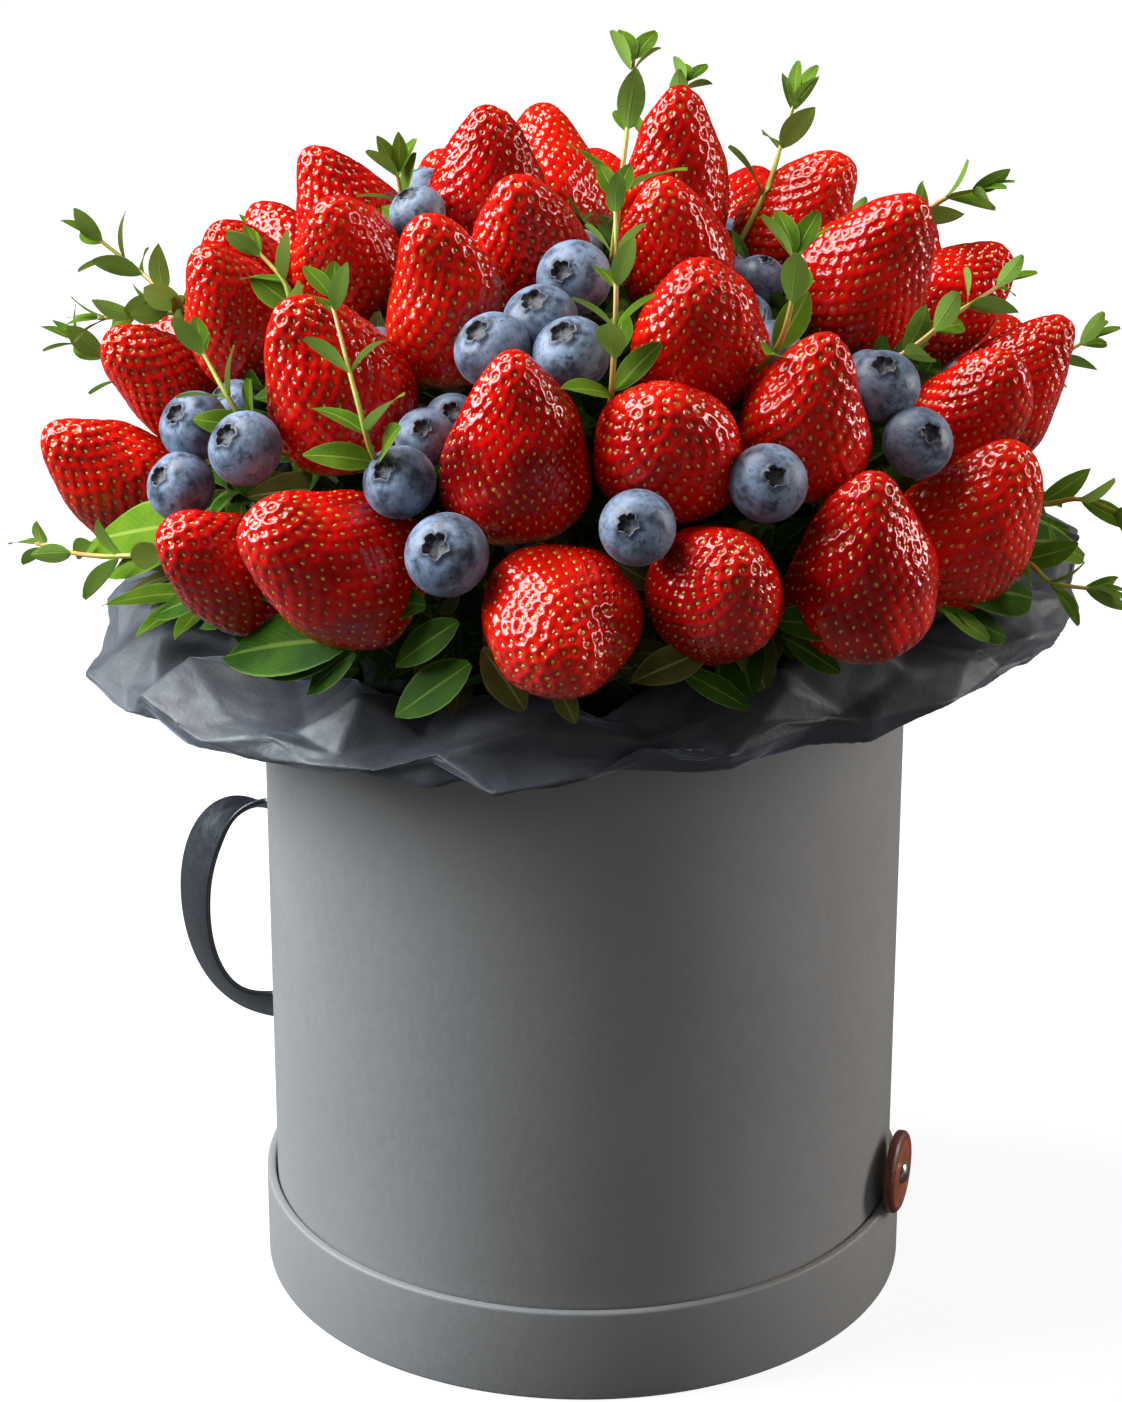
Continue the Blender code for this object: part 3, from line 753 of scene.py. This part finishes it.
# Sprigs: points the stem passes, leaf length, number of leaf pairs, freedom to turn aside.
SPRIGS = (
    (((6, -98, 293), (7, -95, 316), (7, -77, 337)), 16, 6, 2),
    (((9, -17, 323), (11, -6, 337), (13, 14, 351)), 19, 3, 3),
    (((-109, -5, 286), (-122, 10, 291), (-136, 16, 300)), 16, 5, 3),
    (((-106, 2, 282), (-120, 4, 281), (-134, 4, 280)), 15, 4, 3),
    (((-110, -66, 239), (-131, -53, 234), (-149, -24, 227)), 16, 4, 3),
    (((-43, 10, 304), (-49, 9, 313), (-51, 11, 321)), 17, 3, 3),
    (((49, 20, 312), (54, 34, 322), (58, 38, 334)), 18, 3, 3),
    (((92, 31, 302), (100, 30, 309), (108, 27, 312)), 16, 3, 3),
    (((48, -82, 299), (52, -83, 312), (53, -77, 323)), 19, 3, 2),
    (((80, -66, 293), (93, -62, 302), (107, -50, 307)), 15, 4, 3),
    (((120, -44, 245), (130, -51, 249), (140, -57, 247)), 17, 3, 3),
    (((113, -65, 237), (120, -76, 235), (131, -76, 233)), 16, 3, 3),
    (((-48, -109, 278), (-53, -108, 294), (-61, -87, 314)), 17, 4, 2),
    (((-82, -80, 277), (-88, -82, 286), (-96, -72, 296)), 16, 3, 3),
    (((-75, -40, 297), (-79, -38, 305), (-86, -32, 311)), 16, 3, 3),
    (((58, 98, 262), (70, 112, 270), (80, 122, 276)), 16, 4, 14),
    (((-70, 90, 262), (-84, 104, 268), (-97, 112, 276)), 16, 4, 14),
    (((8, 120, 252), (6, 132, 260), (2, 141, 266)), 16, 3, 14),
    (((108, 58, 250), (122, 66, 256), (133, 72, 262)), 16, 4, 14),
    (((-110, 60, 250), (-124, 68, 256), (-135, 74, 262)), 16, 4, 14),
    (((20, 70, 312), (26, 84, 320), (30, 96, 326)), 15, 3, 14),
    (((-14, 96, 286), (-20, 112, 296), (-24, 124, 304)), 15, 3, 14))
STEM_POINTS, FIRST_LEAF = 22, 7     # points along a stem, and the one with the first leaves


def turned(point, degrees):
    """The point turned about the box's axis."""
    a = math.radians(degrees)
    x, y, z = point
    return np.array((x * math.cos(a) - y * math.sin(a), x * math.sin(a) + y * math.cos(a), z))


def sprig_path(points, freedom, space):
    """Stem that bends aside a little until it clears the berries."""
    best = None
    for aside in (0, 0.34, -0.34, 0.67, -0.67, 1, -1):
        moved = [turned(p, aside * freedom) for p in points]
        path = curve_through([DOME + (moved[0] - DOME) * 0.80] + moved, STEM_POINTS)
        clear = min(space.gap(p) for p in path[FIRST_LEAF - 1:])
        if best is None or clear > best[0] + 0.2:
            best = (clear, path)
        if clear > 1.2:
            break
    return best[1]


def sprig(points, leaf_length, pairs, freedom, space, stems, leaves, number):
    """Stem with pairs of leaves, each turned until it clears the berries."""
    rng = np.random.default_rng(500 + number)
    path = sprig_path(points, freedom, space)
    last = STEM_POINTS - 1
    tube(stems, path, [0.95 - 0.45 * k / last for k in range(STEM_POINTS)], 7)
    for pair in range(pairs):
        t = pair / max(pairs - 1, 1)
        k = int(round(FIRST_LEAF + (last - 1 - FIRST_LEAF) * t))
        here, run = path[k], unit(path[min(k + 1, last)] - path[k - 1])
        rows = frame_of(run)
        turn = math.radians(90 * pair + 20 + rng.normal(0, 12))
        size = leaf_length * (1.0 - 0.30 * t) * rng.uniform(0.92, 1.08)
        for flip in (0.0, math.pi):
            for attempt in range(5):
                angle = turn + flip + math.radians(24 * attempt)
                out = rows[0] * math.cos(angle) + rows[1] * math.sin(angle)
                tilt = math.radians(rng.uniform(38, 62) - 18 * t)
                axis = out * math.sin(tilt) + run * math.cos(tilt)
                if space.along(here, axis * size, (0.35, 0.7, 1.0)) > 1.6:
                    top = run * math.sin(tilt) - out * math.cos(tilt)
                    width = size * rng.uniform(0.42, 0.5)
                    leaf(leaves, here + out * 0.5, axis, top, size, width, rng,
                         curl=rng.uniform(0.03, 0.18))
                    break
    tip, run = path[-1], unit(path[-1] - path[-3])
    rows = frame_of(run)
    for out in (-rows[0], rows[0]):
        leaf(leaves, tip, unit(run + 0.4 * out), rows[1], leaf_length * 0.66,
             leaf_length * 0.30, rng, curl=0.05)


class Clearance:
    """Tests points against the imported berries."""

    def __init__(self, names):
        verts, faces = [], []
        for name in names:
            mesh = NODES[name].data
            start = len(verts)
            verts += [v.co / MM for v in mesh.vertices]
            faces += [[start + i for i in p.vertices] for p in mesh.polygons]
        self.tree = BVHTree.FromPolygons(verts, faces)

    def gap(self, point):
        """Distance to the nearest berry, negative inside it."""
        place, normal, _, away = self.tree.find_nearest(Vector(point))
        inside = (Vector(point) - place).dot(normal) < 0
        return -away if inside else away

    def along(self, base, run, shares):
        """Smallest distance at some shares of a straight run."""
        return min(self.gap(base + run * share) for share in shares)


def filler_leaves(space, dark, pale):
    """Leaves that stand between the berries, on the bed."""
    rng = np.random.default_rng(31)
    count, clearance = 1500, 1.8
    index = np.arange(count)
    for d in spiral_ball(1.0 - 1.08 * (index + 0.5) / count, index * GOLDEN):
        base = DOME + d * BED * 0.97
        if base[2] < 226:
            continue
        normal = unit(d / BED)
        tangent = unit(np.cross(normal, rng.normal(0, 1, 3)))
        lean = rng.uniform(0.25, 1.1)
        axis = unit(normal * math.cos(lean) + tangent * math.sin(lean))
        length = rng.uniform(15, 25)
        for _ in range(4):
            clear = space.along(base, axis * length, (0.35, 0.65, 1.0))
            if clear > clearance:
                break
            length *= 0.8
        if clear <= clearance or length < 8:
            continue
        heap = pale if rng.uniform() < 0.3 else dark
        top = unit(np.cross(axis, rng.normal(0, 1, 3)))
        if top @ normal < 0:
            top = -top
        leaf(heap, base, axis, top, length, length * rng.uniform(0.40, 0.54), rng)


def neck_leaves(space, dark, olive):
    """Short leaves that lie over the wall of the core, under the lowest berries."""
    rng = np.random.default_rng(58)
    count, tiers = 150, (9, 17, 25)
    for k in range(count):
        azimuth = 360.0 * (k + rng.uniform(-0.4, 0.4)) / count
        out, side = direction(azimuth, 90), direction(azimuth + 90, 90)
        foot = rim(math.radians(azimuth))[1] + tiers[k % 3]
        base = around(azimuth, rng.uniform(93, 99), foot + rng.uniform(-3, 3))
        axis = unit(side * rng.normal(0, 0.8) + out * rng.uniform(0.25, 0.75)
                    + UP * rng.uniform(-0.25, 0.7))
        length = rng.uniform(13, 18)
        if space.along(base, axis * length, (0.5, 1.0)) < 0.8:
            continue
        leaf(dark if rng.uniform() < 0.7 else olive, base, axis, out + 0.5 * UP, length,
             length * rng.uniform(0.44, 0.54), rng)


# Large low leaves at the front: stem end, tip, width share, kind (dark, fresh, olive).
LOW_LEAVES = (
    ((-59, -115, 234), (-93, -91, 222), 0.44, 0), ((-61, -114, 231), (-82, -101, 219), 0.42, 0),
    ((-58, -116, 231), (-71, -110, 217), 0.42, 0), ((-40, -120, 245), (-66, -109, 244), 0.44, 0),
    ((-29, -126, 232), (-47, -123, 216), 0.50, 0), ((-32, -123, 242), (-48, -121, 229), 0.46, 0),
    ((-26, -126, 236), (-15, -129, 221), 0.52, 2), ((-8, -128, 228), (-3, -131, 218), 0.5, 2),
    ((30, -122, 234), (11, -129, 228), 0.46, 2), ((22, -124, 230), (40, -126, 220), 0.34, 0),
    ((45, -117, 240), (67, -111, 235), 0.44, 0), ((48, -117, 236), (63, -114, 225), 0.44, 0),
    ((52, -116, 238), (74, -106, 230), 0.34, 1), ((93, -88, 236), (118, -60, 227), 0.42, 0),
    ((94, -88, 231), (109, -74, 217), 0.42, 0), ((90, -90, 233), (104, -86, 223), 0.40, 1),
    ((-106, -62, 246), (-134, -22, 224), 0.34, 1), ((-104, -66, 243), (-128, -46, 226), 0.40, 1),
    ((-98, -78, 232), (-113, -66, 222), 0.42, 0), ((-88, -84, 244), (-74, -98, 238), 0.5, 0),
    ((-80, -92, 238), (-100, -84, 226), 0.42, 0), ((108, -60, 240), (128, -38, 232), 0.42, 0),
    ((112, -48, 240), (134, -30, 226), 0.42, 1), ((8, -118, 240), (-6, -122, 234), 0.5, 2),
    ((2, -106, 254), (18, -110, 246), 0.5, 2), ((-64, -96, 262), (-50, -106, 254), 0.5, 2))

# Fans of leaves over the paper at the sides and back: azimuth, number, length.
FANS = ((-12, 4, 22), (9, 4, 21), (30, 5, 23), (52, 4, 22), (74, 5, 22), (97, 4, 23), (118, 5, 21),
        (139, 4, 23), (160, 5, 22), (-179, 4, 21), (-163, 4, 22))


def low_leaves(dark, fresh, olive):
    """Leaves that lie on the paper, set one by one at the front and in fans elsewhere."""
    rng = np.random.default_rng(77)
    heaps = (dark, fresh, olive)
    for base, tip, share, kind in LOW_LEAVES:
        base, tip = np.array(base, float), np.array(tip, float)
        length = np.linalg.norm(tip - base)
        leaf(heaps[kind], base, tip - base, unit(base * (1, 1, 0)) * 0.75 + UP * 0.8, length,
             length * share, rng, curl=rng.uniform(-0.05, 0.06), fold=0.14)
    for azimuth, number, size in FANS:
        out, side = direction(azimuth, 90), direction(azimuth + 90, 90)
        root = around(azimuth, 101.0, rim(math.radians(azimuth))[1] + rng.uniform(17, 22))
        for k in range(number):
            spread = math.radians(62.0 * (2 * (k + 0.5) / number - 1) + rng.normal(0, 7))
            axis = out * math.cos(spread) + side * math.sin(spread)
            axis[2] -= rng.uniform(0.10, 0.30)
            base = root + axis * rng.uniform(6, 12) + UP * rng.uniform(-2, 3)
            length = size * rng.uniform(0.85, 1.15)
            kind = 0 if rng.uniform() < 0.5 else (1 if rng.uniform() < 0.7 else 2)
            leaf(heaps[kind], base, axis, UP + 0.3 * out, length,
                 length * rng.uniform(0.42, 0.5), rng, curl=rng.uniform(0.0, 0.12), fold=0.16)


# ---- paper

def rim(azimuth):
    """Reach and height of the paper's outer edge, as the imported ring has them."""
    return 134.0 + 6.5 * math.cos(2 * azimuth), 206.0 + 10.0 * math.cos(azimuth)


def scatter(rng, across, levels):
    """Loose points over the unrolled paper; shares along it are given row by row."""
    points = []
    for j, level in enumerate(levels):
        for i in range(across):
            u = (i + 0.5 * (j % 2) + rng.uniform(-0.38, 0.38)) / across
            gap = min(abs(level - other) for other in levels if other != level)
            wander = rng.uniform(-0.34, 0.34) * gap if 0 < j < len(levels) - 1 else 0.0
            points.append((u % 1.0, level + wander))
    return points


def facets(points, values, columns, rows, stretch):
    """Spreads the points' values over a closed grid as flat facets between them."""
    places, source = [], []
    for n, (u, v) in enumerate(points):
        for shift in (-1.0, 0.0, 1.0):
            if -0.15 < u + shift < 1.15:
                places.append(((u + shift) * stretch, v))
                source.append(n)
    found = delaunay_2d_cdt([Vector(p) for p in places], [], [], 0, 1e-7)
    spots = np.array([tuple(p) for p in found[0]])
    value = np.asarray(values, float)[[source[ids[0]] for ids in found[3]]]
    out = np.zeros((columns, rows) + value.shape[1:])
    du, dv = stretch / columns, 1.0 / (rows - 1)
    for tri in found[2]:
        a, b, c = spots[list(tri)]
        area = (b[0] - a[0]) * (c[1] - a[1]) - (c[0] - a[0]) * (b[1] - a[1])
        low, high = np.minimum(np.minimum(a, b), c), np.maximum(np.maximum(a, b), c)
        k = np.arange(max(int(low[0] / du), 0), min(int(high[0] / du) + 2, columns))
        i = np.arange(max(int(low[1] / dv), 0), min(int(high[1] / dv) + 2, rows))
        if len(k) == 0 or len(i) == 0 or abs(area) < 1e-12:
            continue
        u, v = np.meshgrid(k * du, i * dv, indexing="ij")
        s = ((u - a[0]) * (c[1] - a[1]) - (c[0] - a[0]) * (v - a[1])) / area
        t = ((b[0] - a[0]) * (v - a[1]) - (u - a[0]) * (b[1] - a[1])) / area
        inside = (s >= -1e-4) & (t >= -1e-4) & (s + t <= 1 + 1e-4)
        k2, i2 = np.nonzero(inside)
        s, t = s[inside], t[inside]
        if value.ndim > 1:
            s, t = s[:, None], t[:, None]
        out[k[k2], i[i2]] = value[tri[0]] * (1 - s - t) + value[tri[1]] * s + value[tri[2]] * t
    return out


# Deep folds across the paper: azimuth, depth, width on either side, slant.
FOLDS = ((-79, 11, 13, 3.5, 14), (-60, 4, 7, 10, -6), (-37, 6, 4, 11, 10), (-26, 6, 5, 5, -8),
         (-112, 4, 6, 10, 10), (-133, 5, 9, 5, -12), (-158, 6, 5, 11, 10), (176, 5, 10, 5, -8),
         (152, 6, 5, 10, 8), (128, 5, 10, 4, -10), (101, 6, 4, 11, 9), (77, 4, 8, 8, -6),
         (54, 6, 10, 4, 10), (31, 5, 5, 10, -9), (8, 5, 9, 5, 8), (-12, 4, 6, 9, 6))


def paper_profile(a):
    """Corners of the paper's section at an azimuth, from inside the box to its wall."""
    reach, edge = rim(a)
    turn = Vector((math.cos(a), math.sin(a), 0.0))
    reach += 3.0 * noise.noise(turn * 3.1 + Vector((0, 0, 1.7)))
    edge += 3.0 * noise.noise(turn * 4.3 + Vector((0, 0, 8.8))) - 0.5
    return [(97.0, BOX_TOP + 4.0), (100.0, edge + 11.0), (reach - 17.0, edge + 9.5),
            (reach - 6.0, edge + 5.0), (reach, edge - 3.0), (reach - 5.0, edge - 8.5),
            (reach - 22.0, edge - 11.0), (BOX_RADIUS + 0.8, min(edge - 14.0, BOX_TOP - 8.0))]


def on_profile(corners, share):
    """Point and outward direction at a share of the section's corners."""
    x = share * (len(corners) - 1)
    i = min(int(x), len(corners) - 2)
    a, b = np.array(corners[i]), np.array(corners[i + 1])
    before = np.array(corners[max(i - 1, 0)])
    after = np.array(corners[min(i + 2, len(corners) - 1)])
    run = unit((b - before) * (1 - x + i) + (after - a) * (x - i))
    return a + (b - a) * (x - i), np.array((run[1], -run[0])) * -1.0


def paper_collar(material):
    """Crumpled tissue from inside the box over the rim and back under to the wall."""
    rng = np.random.default_rng(5)
    columns, rows = 560, 76
    levels = (0.0, 0.15, 0.29, 0.38, 0.46, 0.565, 0.66, 0.74, 0.86, 1.0)
    points = scatter(rng, 27, levels)
    places = []
    for u, v in points:
        a = 2 * math.pi * u
        (r, z), out = on_profile(paper_profile(a), v)
        deep = 0.0
        for place, depth, left, right, slant in FOLDS:
            gap = (math.degrees(a) - place - slant * (v - 0.5) + 180.0) % 360.0 - 180.0
            deep += depth * max(0.0, 1.0 - abs(gap) / (left if gap < 0 else right))
        window = min(1.0, v * 6.0, (1.0 - v) * 4.0)
        push = window * (rng.uniform(-4.6, 4.6) - 0.9 * deep)
        if v < 0.25:
            push = min(push, 1.5)
        r, z = r + out[0] * push, z + out[1] * push
        places.append((r * math.cos(a), r * math.sin(a), z))
    sheet = facets(points, places, columns, rows, 6.9)
    middle = scatter(rng, 48, tuple(np.linspace(0, 1, 13)))
    small = scatter(rng, 120, tuple(np.linspace(0, 1, 26)))
    dents = facets(middle, rng.uniform(-1, 1, len(middle)), columns, rows, 6.9)
    wrinkles = facets(small, rng.uniform(-1, 1, len(small)), columns, rows, 6.9)
    run_u = np.roll(sheet, -1, axis=0) - np.roll(sheet, 1, axis=0)
    run_v = np.gradient(sheet, axis=1)
    normal = np.cross(run_u, run_v)
    normal /= np.maximum(np.linalg.norm(normal, axis=2), 1e-9)[..., None]
    share = np.linspace(0, 1, rows)[None, :, None]
    window = np.minimum(1.0, np.minimum(share * 6.0, (1.0 - share) * 4.0))
    sheet = sheet + normal * window * (0.95 * dents + 0.26 * wrinkles)[..., None]
    reach = np.hypot(sheet[..., 0], sheet[..., 1])
    sheet[..., :2] *= (np.maximum(reach, BOX_RADIUS + 0.5) / reach)[..., None]
    verts = sheet.reshape(-1, 3)
    # Share of painted light: high where the dents push the paper outward, low where they sink it.
    crease = np.clip(0.5 + 0.5 * dents, 0, 1).ravel()
    faces = [tuple(i % len(verts) for i in face) for face in quads(columns + 1, rows)]
    piece = add_piece("tissue_collar", verts, faces, [material], "black_paper", crease=crease)
    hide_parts("paper_collar")


# ---- box, strap and disc

def hat_box(card):
    body = rounded([(0, 2.35), (BOX_RADIUS - 0.6, 2.35), (BOX_RADIUS, 3.2), (BOX_RADIUS, 120.0),
                    (BOX_RADIUS, BOX_TOP), (BOX_RADIUS - 2.0, BOX_TOP), (0, BOX_TOP)], 0.7)
    piece = add_piece("card_body", *lathe(body, 160), [card], "grey_card")
    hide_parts("box_body")
    lid = rounded([(0, 0), (LID_OUTER, 0), (LID_OUTER, 13.0), (LID_OUTER, LID_HEIGHT),
                   (LID_INNER, LID_HEIGHT), (LID_INNER, 2.0), (0, 2.0)], 0.95)
    piece = add_piece("card_lid", *lathe(lid, 160), [card], "grey_card")
    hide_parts("box_lid")


def strap(material):
    """Flat band that leaves the wall, shows its outer face and twists at both ends."""
    azimuth, top, bottom, reach = math.radians(173.6), 137.0, 69.0, 24.0
    out = np.array((math.cos(azimuth), math.sin(azimuth), 0.0))
    count, centres, widths = 96, [], []
    for k in range(count):
        s = 2.0 * k / (count - 1) - 1.0
        angle = 0.5 * math.pi * (1.0 + s)
        bulge = max(math.sin(angle), 0.0) ** 0.75
        centre = out * (BOX_RADIUS - 0.6 + (reach + 0.4) * bulge)
        centre[2] = 0.5 * (top + bottom) - 0.5 * (top - bottom) * math.cos(angle) * (
            1.0 - 0.06 * abs(math.cos(angle)))
        turn = math.radians(30.0 - 12.0 * s * s)
        roll = math.radians(46.0 * abs(s) ** 1.4 if s < 0 else 30.0 * s ** 3)
        centres.append(centre)
        widths.append(np.array((math.sin(turn) * math.cos(roll), -math.cos(turn) * math.cos(roll),
                                math.sin(roll))))
    wide, thick = 9.0, 0.75         # half of each
    section = rounded([(wide, 0.0), (wide, thick), (0.0, thick), (-wide, thick), (-wide, -thick),
                       (0.0, -thick), (wide, -thick), (wide, 0.0)], 0.5, 2)[:-1]
    verts, uv = [], []
    for k in range(count):
        run = unit(centres[min(k + 1, count - 1)] - centres[max(k - 1, 0)])
        face = unit(np.cross(run, widths[k]))
        across = np.cross(face, run)
        for x, y in section:
            verts.append(centres[k] + across * x + face * y)
            uv.append((k / count, 0.5 + 0.5 * x / wide))
    n = len(section)
    faces = quads(count, n, loop=True)
    faces += [tuple(range(n)), tuple(reversed(range((count - 1) * n, count * n)))]
    piece = add_piece("side_strap", verts, faces, [material], "black_strap", uv=uv)
    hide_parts("strap_handle")


def disc_and_stud(leather, metal):
    azimuth = -18.0
    out = direction(azimuth, 90)
    rows = frame_of(out)
    centre = np.array((0.0, 0.0, 37.0))
    back = LID_OUTER + 0.35
    disc = rounded([(0, back), (11.6, back), (12.0, back + 0.6), (12.0, back + 2.3),
                    (10.9, back + 3.2), (9.6, back + 3.05), (9.2, back + 2.85),
                    (0, back + 3.1)], 0.5, 3)
    verts, faces = lathe(disc, 96)
    reach = np.linalg.norm(verts[:, :2], axis=1)
    piece = add_piece("leather_round", centre + verts @ rows, faces, [leather], "brown_leather",
                      rim=np.clip((reach - 9.4) / 1.6, 0, 1))
    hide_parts("leather_disc")
    face = back + 3.2
    stud = rounded([(0, face - 0.2), (3.2, face - 0.2), (3.2, face + 0.35), (2.7, face + 0.9),
                    (1.5, face + 1.45), (0, face + 1.6)], 0.35, 3)
    verts, faces = lathe(stud, 64)
    piece = add_piece("stud_cap", centre + verts @ rows, faces, [metal], "bright_metal")
    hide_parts("disc_stud")


def shaded_green_core(material):
    """Smaller core under the leaves, near black as painted shade in the gaps between the berries,
    drawn in at its foot to stand in the paper.
    """
    dirs, faces = ball_grid(CORE_CELLS)
    verts, reach = [], 94.0
    for d in dirs:
        p = DOME + d * BED * (0.955 + 0.03 * noise.noise(Vector(d * 9.0)))
        if d[2] < 0.05:
            p[2] = max(p[2], BOX_TOP + 0.5)
            p[:2] *= min(1.0, reach / max(math.hypot(p[0], p[1]), 1e-9))
        verts.append(p)
    piece = add_piece("shaded_green_core", verts, faces, [material], "leaf_green")
    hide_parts("greenery_bed")


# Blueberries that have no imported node: azimuth and polar angle of the place, azimuth and
# polar angle of the crown, diameter.
MORE_BLUEBERRIES = (
    (-179, 23, -150, 30, 15.5), (-100, 9, -100, 20, 14.5), (-111, 46, -90, 45, 15.2),
    (-114, 52, -95, 50, 15.2), (-23, 51, -40, 40, 15.2), (-139, 35, -110, 50, 14.8),
    (-148, 47, -115, 35, 15.6), (-164, 57, -150, 50, 15.0), (-15, 19, -30, 30, 14.0),
    (-43, 26, -60, 30, 14.8), (-30, 23, -40, 20, 13.6), (-49, 31, -60, 40, 15.0),
    (-74, 29, -80, 40, 14.8), (48, 64, 50, 55, 15.5), (68, 62, 70, 60, 16.0),
    (92, 62, 90, 50, 16.0), (120, 62, 120, 55, 15.5), (140, 66, 140, 60, 15.0),
    (164, 60, 165, 55, 15.5), (76, 34, 80, 40, 15.0), (125, 40, 125, 45, 15.5),
    (22, 66, 20, 60, 15.0), (90, 84, 90, 70, 15.0), (65, 86, 65, 75, 15.5),
    (115, 86, 115, 75, 15.0), (45, 30, 45, 40, 14.5), (150, 24, 140, 30, 14.5))


def more_blueberries(space, materials):
    """Lowers each berry near its place until it rests on its neighbours."""
    placed, berries = [], []
    tries = [(0, 0)] + [(r * math.cos(t), r * math.sin(t)) for r in (3, 6) for t in range(6)]
    for number, (azimuth, polar, *crown, size) in enumerate(MORE_BLUEBERRIES):
        half, best = 0.5 * size, (math.inf, None)
        for aside, down in tries:
            d = direction(azimuth + aside, polar + down)
            for lift in np.arange(12.0, -14.1, -1.0):
                p = SHELL_CENTRE + d * (SHELL + lift)
                gaps = [space.gap(p)] + [np.linalg.norm(p - q) - r for q, r in placed]
                if min(gaps) - half < 0.2:
                    break
                score = lift + 0.6 * math.hypot(aside, down)
                if score < best[0]:
                    best = (score, p)
        score, place = best
        if score > 8.0:
            continue
        placed.append((place, half))
        berries.append(blueberry(place, direction(*crown), half, 40 + number))
    blueberry_piece("extra_blueberries", berries, materials)


def skewers(names, wood):
    """Pale sticks from inside each strawberry down into the core."""
    heap = Heap()
    for name in names:
        base, axis, *_ = strawberry_facts(name)
        start, inner = base + axis * 4.0, DOME + (base - DOME) * 0.72
        tube(heap, [start, 0.5 * (start + inner), inner], [1.5, 1.5, 1.5], 10)
    heap.piece("skewers", wood, "leaf_green")


# ---- stage, light and camera

def stage():
    verts, faces = lathe([(0, -0.02), (1200.0, -0.02), (6000.0, -0.02)], 64)
    mesh = bpy.data.meshes.new("floor")
    mesh.from_pydata((verts * MM).tolist(), [], faces)
    mesh.materials.append(floor_material())
    floor = bpy.data.objects.new("floor", mesh)
    bpy.context.scene.collection.objects.link(floor)


def soft_light(name, place, target, size, watts, colour, mirrored=True):
    data = bpy.data.lights.new(name, "AREA")
    data.shape, data.size, data.size_y = "RECTANGLE", size[0], size[1]
    data.energy, data.color = watts, colour
    light = bpy.data.objects.new(name, data)
    light.location = place
    light.visible_glossy = mirrored
    light.rotation_euler = (Vector(target) - Vector(place)).to_track_quat("-Z", "Y").to_euler()
    bpy.context.scene.collection.objects.link(light)


def lights():
    world = bpy.data.worlds.new("studio")
    world.use_nodes = True
    tree = world.node_tree
    path = tree.nodes.new("ShaderNodeLightPath")
    value = 0.14
    for ray, level in (("Is Glossy Ray", 0.05), ("Is Camera Ray", 0.96)):
        pick = tree.nodes.new("ShaderNodeMapRange")
        tree.links.new(path.outputs[ray], pick.inputs["Value"])
        if isinstance(value, float):
            pick.inputs["To Min"].default_value = value
        else:
            tree.links.new(value, pick.inputs["To Min"])
        pick.inputs["To Max"].default_value = level
        value = pick.outputs["Result"]
    background = tree.nodes["Background"]
    background.inputs["Color"].default_value = (1.0, 1.0, 1.0, 1.0)
    tree.links.new(value, background.inputs["Strength"])
    bpy.context.scene.world = world
    soft_light("left", (-1.26, 0.0, 0.95), (0, 0, 0.22), (1.1, 0.9), 58.0, (0.86, 0.94, 1.0))
    soft_light("top", (-0.60, 0.16, 1.52), (0, 0, 0.25), (0.8, 0.7), 29.0, (1.0, 0.99, 0.97))
    soft_light("front", (0.9, -2.5, 1.1), (0, 0, 0.2), (2.6, 2.0), 12.0, (1.0, 0.985, 0.97), False)
    soft_light("right", (1.28, 0.12, 0.6), (0, 0, 0.15), (0.4, 0.9), 15.0, (1.0, 0.96, 0.92))
    scene = bpy.context.scene
    scene.view_settings.view_transform = "Standard"
    scene.view_settings.look = "None"


def camera():
    data = bpy.data.cameras.new("camera")
    data.lens, data.sensor_width = 102.55, 36.0
    eye = bpy.data.objects.new("camera", data)
    eye.location = (-0.006527, -1.04516, 0.59254)
    eye.rotation_euler = (math.radians(90.0 - 21.957), 0.0, 0.0)
    bpy.context.scene.collection.objects.link(eye)
    bpy.context.scene.camera = eye


def main():
    camera()
    lights()
    stage()
    skin, blue = strawberry_material(), [blueberry_material(), crown_material()]
    straw = sorted(n for n in NODES if n.startswith("strawberry"))
    blues = sorted(n for n in NODES if n.startswith("blueberry"))
    space = Clearance(straw + blues)
    seeds = Heap()
    for number, node in enumerate(straw):
        strawberry(node, number, skin, seeds)
    seeds.piece("strawberry_seeds", seed_material(), "strawberry_red")
    for number, node in enumerate(blues):
        centre, axis, half = blueberry_facts(node)
        piece = blueberry_piece("berry_" + node, [blueberry(centre, axis, half, number)], blue)
        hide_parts(node)
    more_blueberries(space, blue)
    skewers(straw, wood_material())

    dark = leaf_material("leaf_dark", (0.009, 0.036, 0.002), (0.030, 0.082, 0.005),
                         (0.12, 0.18, 0.03), (0.13, 0.22, 0.04), (0.05, 0.10, 0.015))
    fresh = leaf_material("leaf_fresh", (0.040, 0.110, 0.004), (0.098, 0.185, 0.009),
                          (0.22, 0.30, 0.05), (0.22, 0.32, 0.06), (0.16, 0.27, 0.05))
    olive = leaf_material("leaf_olive", (0.045, 0.048, 0.008), (0.105, 0.105, 0.022),
                          (0.26, 0.28, 0.11), (0.24, 0.24, 0.08), (0.13, 0.14, 0.05))
    low, young, old, stems = Heap(), Heap(), Heap(), Heap()
    for number, (points, size, pairs, freedom) in enumerate(SPRIGS):
        sprig(points, size, pairs, freedom, space, stems, young, number)
    filler_leaves(space, low, old)
    low_leaves(low, young, old)
    neck_leaves(space, low, old)
    young.piece("sprig_leaves", fresh, "leaf_green")
    stems.piece("sprig_stems", stem_material(), "leaf_green")
    low.piece("deep_leaves", dark, "leaf_green")
    old.piece("olive_leaves", olive, "leaf_green")
    shaded_green_core(core_material())

    paper_collar(paper_material())
    hat_box(card_material())
    strap(strap_material())
    disc_and_stud(leather_material(), metal_material())


main()
